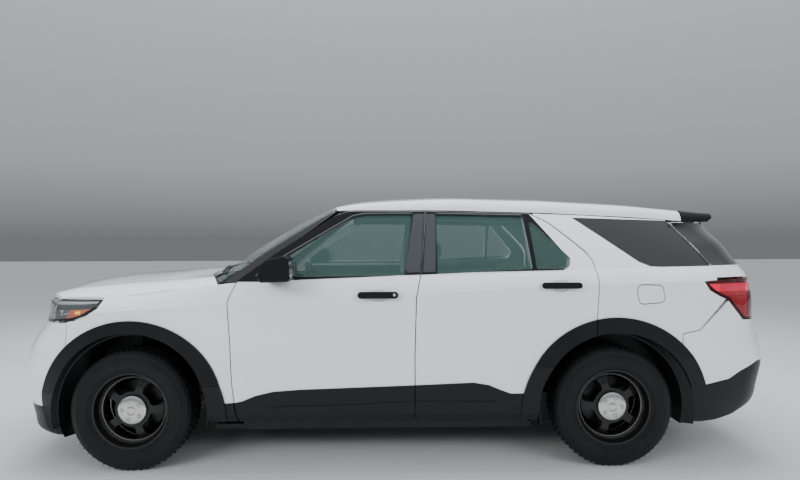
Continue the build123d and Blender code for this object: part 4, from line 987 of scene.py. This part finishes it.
# %% Door locks
LOCK_SPOT, LOCK_RADIUS, LOCK_DEPTH = (-0.0030, 1.0970), 0.0085, 0.005
COLLAR_WIDE, COLLAR_DROP, MIDDLE_DROP = 0.0022, 0.0008, 0.001
for side, sign in SIDES.items():
    y = skin(f"front_door_trim_{side}", side, *LOCK_SPOT)
    print("lock", side, "meets the handle at", y)
    lock = start(f"door_lock_{side}", "cylinder", vertices=32, radius=LOCK_RADIUS, depth=LOCK_DEPTH,
                 location=(LOCK_SPOT[0], y, LOCK_SPOT[1]), rotation=(math.pi / 2, 0, 0))
    pick("faces", lambda face: face.normal.y * sign > 0.9)
    bpy.ops.mesh.inset(thickness=COLLAR_WIDE)
    bpy.ops.transform.translate(value=(0, -sign * COLLAR_DROP, 0))
    bpy.ops.mesh.inset(thickness=COLLAR_WIDE)
    bpy.ops.mesh.extrude_region_move(TRANSFORM_OT_translate={"value": (0, -sign * MIDDLE_DROP, 0)})
    close(lock, f"front_door_body_{side}", silver_and_painted_glint)

# %% [markdown]
# Each mirror has a plate of silvered glass behind the rim of its housing: a plate with rounded corners and
# a ground edge, tilted as the housing is.

# %% Mirror glasses
mirror_silver = finish(
    "mirror_silver", spray, {"Paint": (0.30, 0.32, 0.34, 1), "Dust Amount": 0.0, "Gloss": 0.03},
    metallic=1.0,
)
GLASS_X, GLASS_Y, GLASS_Z, GLASS_TILT = -0.6215, 1.068, 1.262, math.radians(-3.6)
GLASS_SIZE = (0.004, 0.146, 0.104)
GROUND_EDGE, EDGE_RISE = 0.002, 0.001
for side, sign in SIDES.items():
    plate = rounded_plate(f"mirror_glass_{side}", (GLASS_X, sign * GLASS_Y, GLASS_Z), GLASS_SIZE, 0.022, 6,
                          rotation=(0, GLASS_TILT, 0))
    bpy.ops.mesh.inset(thickness=GROUND_EDGE)
    bpy.ops.transform.translate(value=(EDGE_RISE, 0, 0))
    close(plate, f"front_door_body_{side}", mirror_silver)
print("mirror glasses 2")

# %% [markdown]
# The seats are foam under cloth, so the hard CAD seats are replaced. A block with raised bolsters is
# remeshed evenly and swelled a little as cloth under pressure, with a cap on how far any point may move.
# The seams are pressed in afterwards, because a remesh would lose them. One cushion and one back are made
# and copied to the other places.

# %% Helpers for padded pieces
SEAT_BACK_TILT = math.radians(14)
VOXEL, PRESSURE, MOVE_CAP, CLOTH_FRAMES = 0.006, 4.0, 0.024, 20
# how far in, as a share of the width, the bolsters and the hollow between them begin, and how deep the
# hollow is
BOLSTER_FROM, HOLLOW_TO, HOLLOW_SHARE, ON_FRONT = 0.45, 0.20, 0.4, 0.45


def faces_sitter(tilt):
    """The direction that a part's padded side looks: up for a cushion, ahead for a back."""
    return Vector((0, 0, 1)) if tilt is None else Vector((-math.cos(tilt), 0, math.sin(tilt)))


def padded_block(name, centre, size, tilt, bolster):
    piece = start(name, "cube", size=1.0, location=centre, rotation=(0, tilt or 0.0, 0), scale=size)
    out, middle = faces_sitter(tilt), Vector(centre)
    thick, width = size[2] if tilt is None else size[0], size[1]

    def on_front(vert):
        return (vert.co - middle).dot(out) > ON_FRONT * thick

    def from_middle(vert):
        return abs(vert.co.y - middle.y) / width

    bpy.ops.mesh.subdivide(number_cuts=5)
    pick("verts", lambda vert: on_front(vert) and from_middle(vert) > BOLSTER_FROM)
    bpy.ops.transform.translate(value=out * bolster)
    pick("verts", lambda vert: on_front(vert) and from_middle(vert) < HOLLOW_TO)
    bpy.ops.transform.translate(value=out * -bolster * HOLLOW_SHARE)
    soften(0.024, 3, sharper_than=55.0)
    return piece


def swelled(piece):
    """Remesh the open piece evenly and let it swell as cloth, no point further than the cap."""
    apply_modifier(piece, "REMESH", mode="VOXEL", voxel_size=VOXEL, use_smooth_shade=True)
    bpy.ops.object.mode_set(mode="OBJECT")
    before = [vert.co.copy() for vert in piece.data.vertices]
    cloth = piece.modifiers.new("cloth", "CLOTH")
    cloth.settings.quality = 3
    cloth.settings.mass = 0.3
    cloth.settings.use_pressure = True
    cloth.settings.uniform_pressure_force = PRESSURE
    cloth.settings.effector_weights.gravity = 0
    cloth.collision_settings.use_collision = False
    cloth.collision_settings.use_self_collision = False
    for number in range(1, CLOTH_FRAMES + 1):
        bpy.context.scene.frame_set(number)
    bpy.ops.object.modifier_apply(modifier="cloth")
    bpy.context.scene.frame_set(1)
    furthest = 0.0
    for vert, first in zip(piece.data.vertices, before):
        step = vert.co - first
        furthest = max(furthest, step.length)
        if step.length > MOVE_CAP:
            vert.co = first + step * (MOVE_CAP / step.length)
    print(piece.name, "points", len(before), "swelled up to", round(furthest * 1000, 1), "mm")
    bpy.ops.object.mode_set(mode="EDIT")
    return piece


def sewn(piece, centre, tilt, lines, depth=0.006, reach=0.013):
    """Press seams into the padded side; each line gives a point's distance from its seam."""
    out, middle = faces_sitter(tilt), Vector(centre)
    for vert in bmesh.from_edit_mesh(piece.data).verts:
        away = vert.co - middle
        if away.dot(out) > 0:
            near = min(line(away) for line in lines)
            if near < reach:
                vert.co -= out * depth * (1 - (near / reach) ** 2)
    bmesh.update_edit_mesh(piece.data)
    return piece


def up_the_back(away, tilt=SEAT_BACK_TILT):
    return away.x * math.sin(tilt) + away.z * math.cos(tilt)


# %% Cushions, backs and head restraints
SEAT_Y, SEAT_WIDE, MIDDLE_WIDE = 0.370, 0.465, 0.236
CUSHION_PLACE, CUSHION_SIZE = (-0.060, -SEAT_Y, 0.535), (0.465, SEAT_WIDE, 0.092)
BACK_PLACE, BACK_SIZE = (0.208, -SEAT_Y, 0.895), (0.080, SEAT_WIDE, 0.595)
REST_PLACE, REST_SIZE, REST_TILT = (0.292, -SEAT_Y, 1.330), (0.074, 0.232, 0.160), math.radians(10)
# how much of each is foam
PAD_FILL, REST_FILL = 0.8, 0.9
# where the seams run: along each side, across the cushion and across the back
SIDE_SEAM, REST_SEAM, CUSHION_SEAMS, BACK_SEAMS = 0.150, 0.085, (-0.105, 0.060), (0.150, -0.080)
NO_SEAM = 1.0


def finished_pad(piece):
    close(piece, "body", seat_fabric, angle=60)
    return piece


def side_seams(away, at=SIDE_SEAM):
    return abs(abs(away.y) - at)


def cross_seam(measure, at):
    """A seam across the padded side, between the side seams, where a measure of the point is this value."""
    return lambda away: abs(measure(away) - at) if abs(away.y) < SIDE_SEAM else NO_SEAM


def along_cushion(away):
    return away.x


cushion = swelled(padded_block("seat_cushion_left", CUSHION_PLACE, CUSHION_SIZE, None, 0.016))
sewn(cushion, CUSHION_PLACE, None, [side_seams] + [cross_seam(along_cushion, at) for at in CUSHION_SEAMS])
finished_pad(cushion)
back = swelled(padded_block("seat_back_left", BACK_PLACE, BACK_SIZE, SEAT_BACK_TILT, 0.014))
sewn(back, BACK_PLACE, SEAT_BACK_TILT, [side_seams] + [cross_seam(up_the_back, at) for at in BACK_SEAMS])
finished_pad(back)
rest = swelled(padded_block("head_rest_left", REST_PLACE, REST_SIZE, REST_TILT, 0.004))
sewn(rest, REST_PLACE, REST_TILT, [lambda away: side_seams(away, REST_SEAM)], depth=0.004, reach=0.008)
finished_pad(rest)
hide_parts("seats")

# %% The other seats are copies
REAR_SHIFT = (0.930, 0.0, 0.0)
for pad, name, fill in (
    (cushion, "seat_cushion", PAD_FILL), (back, "seat_back", PAD_FILL), (rest, "head_rest", REST_FILL),
):
    twin(pad, f"{name}_right", "body", flip=True)
for pad, name in ((cushion, "rear_cushion"), (back, "rear_back")):
    twin(pad, f"{name}_left", "body", move=REAR_SHIFT)
    twin(pad, f"{name}_right", "body", flip=True, move=REAR_SHIFT)

# name, middle, size, tilt, and the seam across it
MIDDLE_PADS = [
    ("rear_cushion_middle", (0.870, 0.0, 0.535), (0.465, MIDDLE_WIDE, 0.092), None,
     cross_seam(along_cushion, CUSHION_SEAMS[1])),
    ("rear_back_middle", (1.138, 0.0, 0.895), (0.080, MIDDLE_WIDE, 0.595), SEAT_BACK_TILT,
     cross_seam(up_the_back, BACK_SEAMS[0])),
]
for name, place, size, tilt, seam in MIDDLE_PADS:
    finished_pad(sewn(swelled(padded_block(name, place, size, tilt, 0.0)), place, tilt, [seam]))
print("padded pieces", 3 * 2 + 2 * 2 + len(MIDDLE_PADS))

# %% [markdown]
# Under the padding each seat has a moulded base with a step in its sides, and each head restraint stands on
# two polished posts. The posts are one bar in the real seat, bent in a U inside the padding, so only the
# legs are drawn, each with the collar that it slides in.

# %% Seat bases and posts
# name, middle, size
SEAT_BASES = [
    ("seat_base_left", (-0.045, -0.370, 0.357), (0.430, 0.400, 0.244)),
    ("seat_base_right", (-0.045, 0.370, 0.357), (0.430, 0.400, 0.244)),
    ("rear_seat_base", (0.766, 0.0, 0.357), (0.212, 1.120, 0.244)),
]
for name, middle, size in SEAT_BASES:
    base = start(name, "cube", size=1.0, location=middle, scale=size)
    pick("faces", lambda face: abs(face.normal.y) > 0.9 or face.normal.x < -0.9)
    bpy.ops.mesh.inset(thickness=0.025, use_individual=True)
    bpy.ops.mesh.extrude_region_shrink_fatten(TRANSFORM_OT_shrink_fatten={"value": -0.008})
    soften(0.004, 2)
    close(base, "body", cabin_plastic)

POST_X, POST_Z, POST_ACROSS, POST_RADIUS, POST_LONG = 0.2850, 1.2200, 0.062, 0.0055, 0.130
# where a post's foot is, how much wider its collar is, and how tall
FOOT_X, FOOT_Z, COLLAR_SPREAD, COLLAR_TALL = 0.2738, 1.155, 2.2, 0.010
for side, sign in SIDES.items():
    for across in (-POST_ACROSS, POST_ACROSS):
        y = sign * SEAT_Y + across
        edge_name = "in" if across * sign < 0 else "out"
        post = start(f"head_post_{side}_{edge_name}", "cylinder", vertices=20, radius=POST_RADIUS,
                     depth=POST_LONG, location=(POST_X, y, POST_Z), rotation=(0, REST_TILT, 0))
        pick("faces", lambda face: face.normal.z < -0.9)
        bpy.ops.mesh.extrude_region_move(TRANSFORM_OT_translate={"value": (0, 0, -0.001)})
        bpy.ops.transform.resize(value=(COLLAR_SPREAD, COLLAR_SPREAD, 1), center_override=(FOOT_X, y, FOOT_Z))
        bpy.ops.mesh.extrude_region_move(TRANSFORM_OT_translate={"value": (-0.001, 0, -COLLAR_TALL)})
        close(post, "body", chrome)
print("bases", len(SEAT_BASES), "posts 4")

# %% [markdown]
# The dashboard has four air vents and a screen between them. Each vent is a frame with slats, because a
# dark opening with slats is what makes a vent read as one.

# %% Dashboard details
screen_glass = pane("screen_glass", (0.004, 0.005, 0.007), 0.0, 0.06)
VENT_WIDE, VENT_HIGH, VENT_FRAME, VENT_DEPTH, SLATS = 0.10, 0.055, 0.006, 0.009, 4
SLAT_SIZE, SLAT_TILT = (0.008, VENT_WIDE - 2 * VENT_FRAME, 0.0016), math.radians(25)


def dash_skin(y, z):
    """How far back the dashboard lies, seen straight from the seats at this y and z."""
    return met("dashboard", (0.2, y, z), (-1, 0, 0)).x


def vent(name, y, z):
    x = dash_skin(y, z)
    vent_piece = start(name, "cube", size=1.0, location=(x + 0.002, y, z),
                       scale=(0.012, VENT_WIDE, VENT_HIGH))
    pick("faces", lambda face: face.normal.x > 0.9)
    bpy.ops.mesh.inset(thickness=VENT_FRAME)
    bpy.ops.mesh.extrude_region_move(TRANSFORM_OT_translate={"value": (-VENT_DEPTH, 0, 0)})
    pitch = (VENT_HIGH - 2 * VENT_FRAME) / SLATS
    for k in range(SLATS):
        bpy.ops.mesh.select_all(action="DESELECT")
        spot = (x + 0.003, y, z - VENT_HIGH / 2 + VENT_FRAME + (k + 0.5) * pitch)
        bpy.ops.mesh.primitive_cube_add(size=1.0, location=spot, rotation=(0, SLAT_TILT, 0), scale=SLAT_SIZE)
    return close(vent_piece, "body", cabin_plastic)


VENT_HEIGHT = 1.045
for number, y in enumerate((-0.640, -0.120, 0.120, 0.640)):
    print("vent", number + 1, "meets the dashboard at", dash_skin(y, VENT_HEIGHT))
    vent(f"air_vent_{number + 1}", y, VENT_HEIGHT)

# %% Screen
screen_x = dash_skin(0.0, 0.95)
screen = rounded_plate("dash_screen", (screen_x + 0.006, 0.0, 0.955), (0.014, 0.230, 0.115), 0.010, 4)
bpy.ops.mesh.inset(thickness=0.008)
bpy.ops.mesh.extrude_region_move(TRANSFORM_OT_translate={"value": (-0.0015, 0, 0)})
close(screen, "body", screen_glass)
print("screen at", round(screen_x, 3))

# %% [markdown]
# Stitches run round the steering wheel's rim, on the side that faces the driver. One is made, a small bar
# with bevelled edges, and spun round the rim with copies, which keeps every stitch the same length and the
# gaps even.

# %% Rim stitches
WHEEL_MIDDLE, WHEEL_TILT, RIM_RADIUS = Vector((-0.560, -0.370, 1.102)), math.radians(24), 0.178
STITCH_SIZE, STITCH_IN, STITCH_OUT = (0.0012, 0.0060, 0.0012), 0.0095, 0.0118
wheel_axis = Vector((math.cos(WHEEL_TILT), 0, math.sin(WHEEL_TILT)))
thread = finish(
    "rim_thread", grain, {"Colour": (0.10, 0.10, 0.11, 1), "Worn": (0.16, 0.16, 0.17, 1), "Roughness": 0.8},
)
top = Vector((-math.sin(WHEEL_TILT), 0, math.cos(WHEEL_TILT)))
STITCHES = 96
spot = WHEEL_MIDDLE + top * (RIM_RADIUS - STITCH_IN) + wheel_axis * STITCH_OUT
stitch = start("rim_stitches", "cube", size=1.0, location=spot, rotation=(0, -WHEEL_TILT, 0),
               scale=STITCH_SIZE)
bpy.ops.mesh.bevel(offset=0.0004, segments=1, affect="EDGES")
bpy.ops.mesh.select_all(action="SELECT")
turned = math.tau * (STITCHES - 1) / STITCHES
bpy.ops.mesh.spin(steps=STITCHES - 1, dupli=True, angle=turned, center=WHEEL_MIDDLE, axis=wheel_axis)
close(stitch, "steering_wheel_body", thread)
print("stitches", STITCHES)

# %% [markdown]
# Inside, each door is closed by a moulded card with a soft cap along its top edge and an arm rest. Without
# them the white steel of the door's inner skin would show through the glass. The card is a plate whose
# inner face is inset, the arm rest is a face of it drawn out, and the cap is a bar that follows the rise
# of the window sill.

# %% Helper: a bar along a few points
def bar(name, points, wide, high, facing=(0, math.pi / 2, 0), end_scale=1.0):
    """A bar whose section stays parallel: a plane extruded from point to point, narrower at the end."""
    piece = start(name, "plane", size=1.0, location=points[0], rotation=facing, scale=(high, wide, 1.0))
    for before, after in zip(points, points[1:]):
        step = [b - a for a, b in zip(before, after)]
        bpy.ops.mesh.extrude_region_move(TRANSFORM_OT_translate={"value": step})
    if end_scale != 1.0:
        bpy.ops.transform.resize(value=(end_scale,) * 3, center_override=points[-1])
    return piece


# %% Door cards
# x range, z range and the two ends of the cap
DOOR_CARDS = {
    "front": ((-0.790, 0.060), (0.420, 1.190), (-0.830, 1.2060), (0.070, 1.2125)),
    "rear": ((0.310, 1.000), (0.520, 1.205), (0.290, 1.2235), (1.050, 1.2590)),
}
CARD_MIDDLE, CARD_THICK, CAP_MIDDLE, CAP_WIDE, CAP_HIGH = 0.8410, 0.0080, 0.8760, 0.0500, 0.0120
# the arm rest: how far below the card's top it begins and ends, and how far it stands out
ARM_REST_TOP, ARM_REST_FOOT, ARM_REST_OUT = 0.28, 0.34, 0.055
# the face that is drawn out has its middle here, and is larger than the rim round it
ARM_REST_LEVEL, ARM_REST_AREA = (ARM_REST_TOP + ARM_REST_FOOT) / 2, 0.003
for place, ((x0, x1), (z0, z1), foot, head) in DOOR_CARDS.items():
    for side, sign in SIDES.items():
        body = f"{place}_door_body_{side}"
        card = start(f"door_card_{place}_{side}", "cube", size=1.0, scale=(x1 - x0, CARD_THICK, z1 - z0),
                     location=((x0 + x1) / 2, sign * CARD_MIDDLE, (z0 + z1) / 2))
        for drop in (ARM_REST_TOP, ARM_REST_FOOT):
            bpy.ops.mesh.select_all(action="SELECT")
            bpy.ops.mesh.bisect(plane_co=(0, 0, z1 - drop), plane_no=(0, 0, 1))

        def faces_in(face):
            return face.normal.y * sign < -0.9

        def is_rest(face):
            level = z1 - face.calc_center_median().z
            return faces_in(face) and abs(level - ARM_REST_LEVEL) < 0.01 and face.calc_area() > ARM_REST_AREA

        pick("faces", faces_in)
        bpy.ops.mesh.inset(thickness=0.022, use_individual=True)
        pick("faces", is_rest)
        bpy.ops.mesh.extrude_region_move(TRANSFORM_OT_translate={"value": (0, -sign * ARM_REST_OUT, 0)})
        soften(0.0035, 2, clamp=True)
        close(card, body, cabin_plastic)
        ends = [(x, sign * CAP_MIDDLE, z + CAP_HIGH / 2 + 0.0006) for x, z in (foot, head)]
        cap = bar(f"door_cap_{place}_{side}", ends, CAP_WIDE, CAP_HIGH)
        soften(0.004, 2, clamp=True)
        close(cap, body, cabin_plastic)
print("door cards 4, caps 4")

# %% [markdown]
# Behind the bars of the grille lies a fine lattice, which on the real car keeps stones off the radiator. It
# is a flat grid bowed to the grille's curve and turned into wires. The engine bay then reads as dark behind
# it.

# %% Grille lattice
LATTICE_X, LATTICE_BOW, LATTICE_WIRE = -2.448, 0.354, 0.0034
# y half width, z range, cells across and up
LATTICES = [("upper", 0.470, (0.640, 0.985), 62, 22), ("lower", 0.345, (0.452, 0.520), 46, 5)]
for label, half, (z0, z1), across, up_cells in LATTICES:
    lattice = start(f"grille_lattice_{label}", "grid", x_subdivisions=up_cells, y_subdivisions=across,
                    size=1.0, scale=(z1 - z0, 2 * half, 1),
                    location=(LATTICE_X, 0, (z0 + z1) / 2), rotation=(0, math.pi / 2, 0))
    for vert in bmesh.from_edit_mesh(lattice.data).verts:
        vert.co.x += LATTICE_BOW * vert.co.y ** 2
    apply_modifier(lattice, "WIREFRAME", thickness=LATTICE_WIRE, use_even_offset=False, use_boundary=True)
    close(lattice, "body", black_plastic, angle=30)
    print("lattice", label, len(lattice.data.polygons))

# %% [markdown]
# The number plate is left blank. It is pressed from sheet, so it has rounded corners, a raised rim and four
# bolts. The handle of the tailgate is a dark bar above it.

# %% Blank rear plate
plate_white = finish(
    "plate_white", spray, {"Paint": (0.62, 0.63, 0.62, 1), "Dust Amount": 0.4, "Gloss": 0.3},
)
PLATE_X, PLATE_Z, PLATE_WIDE, PLATE_HIGH = 2.4765, 0.945, 0.305, 0.152
BOLT_ACROSS, BOLT_UP = 0.090, 0.058
plate = rounded_plate("rear_plate_blank", (PLATE_X, 0, PLATE_Z), (0.003, PLATE_WIDE, PLATE_HIGH), 0.014, 6)
# the rim's width at each step, and how far that step stands out
for rim, out in ((0.004, 0.0012), (0.003, -0.0012)):
    bpy.ops.mesh.inset(thickness=rim)
    bpy.ops.transform.translate(value=(out, 0, 0))
close(plate, "liftgate_body", plate_white)
bolts = [(y, z) for y in (-BOLT_ACROSS, BOLT_ACROSS) for z in (-BOLT_UP, BOLT_UP)]
for k, (y, z) in enumerate(bolts):
    bolt = start(f"plate_bolt_{k + 1}", "cylinder", vertices=24, radius=0.0065, depth=0.003,
                 location=(PLATE_X + 0.003, y, PLATE_Z + z), rotation=(0, math.pi / 2, 0))
    pick("faces", lambda face: face.normal.x > 0.9)
    bpy.ops.mesh.inset(thickness=0.0026)
    bpy.ops.mesh.extrude_region_move(TRANSFORM_OT_translate={"value": (-0.0012, 0, 0)})
    close(bolt, "liftgate_body", chrome)
gate_bar = start("tailgate_bar", "cube", size=1.0, location=(2.4640, 0, 1.0850), scale=(0.018, 0.620, 0.034))
soften(0.005, 3)
close(gate_bar, "liftgate_body", gloss_black)
print("plate 1, bolts 4")

# %% Dark header over the rear glass
HEADER_Z, HEADER_WIDE, HEADER_HIGH = 1.5515, 0.0070, 0.0040
# x and y from the middle of the tailgate round to its side
HEADER_LINE = [
    (2.2352, 0.0), (2.2302, -0.2), (2.2152, -0.4), (2.1992, -0.5), (2.1345, -0.6015), (2.0435, -0.6525),
    (1.8840, -0.6868),
]
spots = [(x, y, HEADER_Z) for x, y in HEADER_LINE]
header = bar("rear_header_left", spots, HEADER_WIDE, HEADER_HIGH, facing=(math.pi / 2, 0, -math.pi / 4))
close(header, "liftgate_body", gloss_black_painted_sky)
twin(header, "rear_header_right", "liftgate_body", flip=True)
print("header 2")

# %% [markdown]
# A wiper is an arm that rises from under the bonnet's edge and a blade that lies across the glass. Points
# on the glass are found by straight lines down on to it, so each blade follows the curve and stands a
# rubber's height off it.

# %% Wipers
def on_glass(x, y, lift):
    return Vector((x, y, met("windshield", (x, y, 3.0), (0, 0, -1)).z + lift))


ACROSS = (math.pi / 2, 0, 0)
BLADE_STEP, BLADE_LIFT, BLADE_WIDE, BLADE_HIGH = 0.140, 0.010, 0.010, 0.014
ARM_WIDE, ARM_HIGH, ARM_FOOT_X, ARM_ELBOW_X = 0.018, 0.010, -1.224, -1.212
# y of the blade's first end, how far on the arm's foot is, and x at each step along the blade
WIPERS = {
    "left": (-0.660, 0.22, [-1.140, -1.165, -1.188, -1.206, -1.218]),
    "right": (-0.050, 0.24, [-1.222, -1.218, -1.208, -1.192, -1.172]),
}
for side, (first, foot_on, blade_xs) in WIPERS.items():
    spots = [on_glass(x, first + BLADE_STEP * k, BLADE_LIFT) for k, x in enumerate(blade_xs)]
    blade = bar(f"wiper_blade_{side}", spots, BLADE_WIDE, BLADE_HIGH, facing=ACROSS)
    close(blade, "body", black_plastic)
    foot_y = first + foot_on
    foot, elbow = on_glass(ARM_FOOT_X, foot_y, 0.020), on_glass(ARM_ELBOW_X, foot_y + 0.030, 0.030)
    head = spots[2] + Vector((0, 0, 0.014))
    arm = bar(f"wiper_arm_{side}", [foot, elbow, head], ARM_WIDE, ARM_HIGH, facing=ACROSS, end_scale=0.7)
    close(arm, "body", satin_strip)

REAR_BLADE = [(2.3945, 0.020, 1.285), (2.3930, 0.120, 1.286), (2.3900, 0.220, 1.287), (2.3850, 0.330, 1.288)]
REAR_ARM = [(2.4090, -0.015, 1.272), (2.4070, 0.080, 1.280), (2.4030, 0.180, 1.290)]
rear_blade = bar("rear_wiper_blade", REAR_BLADE, 0.012, 0.010, facing=ACROSS)
close(rear_blade, "liftgate_body", black_plastic)
rear_arm = bar("rear_wiper_arm", REAR_ARM, 0.014, 0.020, facing=ACROSS, end_scale=0.6)
close(rear_arm, "liftgate_body", black_plastic)
print("wipers 3")

# %% Exhaust tip and high brake lamp
tip = start("exhaust_tip", "cylinder", vertices=40, radius=0.036, depth=0.060, location=(2.372, 0.440, 0.320),
            rotation=(0, math.pi / 2, 0))
pick("faces", lambda face: abs(face.normal.x) > 0.9 and len(face.verts) > 10)
bpy.ops.mesh.inset(thickness=0.0035)
pick("faces", lambda face: face.normal.x > 0.9 and len(face.verts) > 10)
bpy.ops.mesh.extrude_region_move(TRANSFORM_OT_translate={"value": (-0.050, 0, 0)})
close(tip, "body", chrome)
lamp = start("high_brake_lamp", "cube", size=1.0, location=(2.2385, 0, 1.607), scale=(0.004, 0.360, 0.016))
soften(0.0016, 2)
close(lamp, "liftgate_body", rib_red)
print("tip 1, lamp 1")
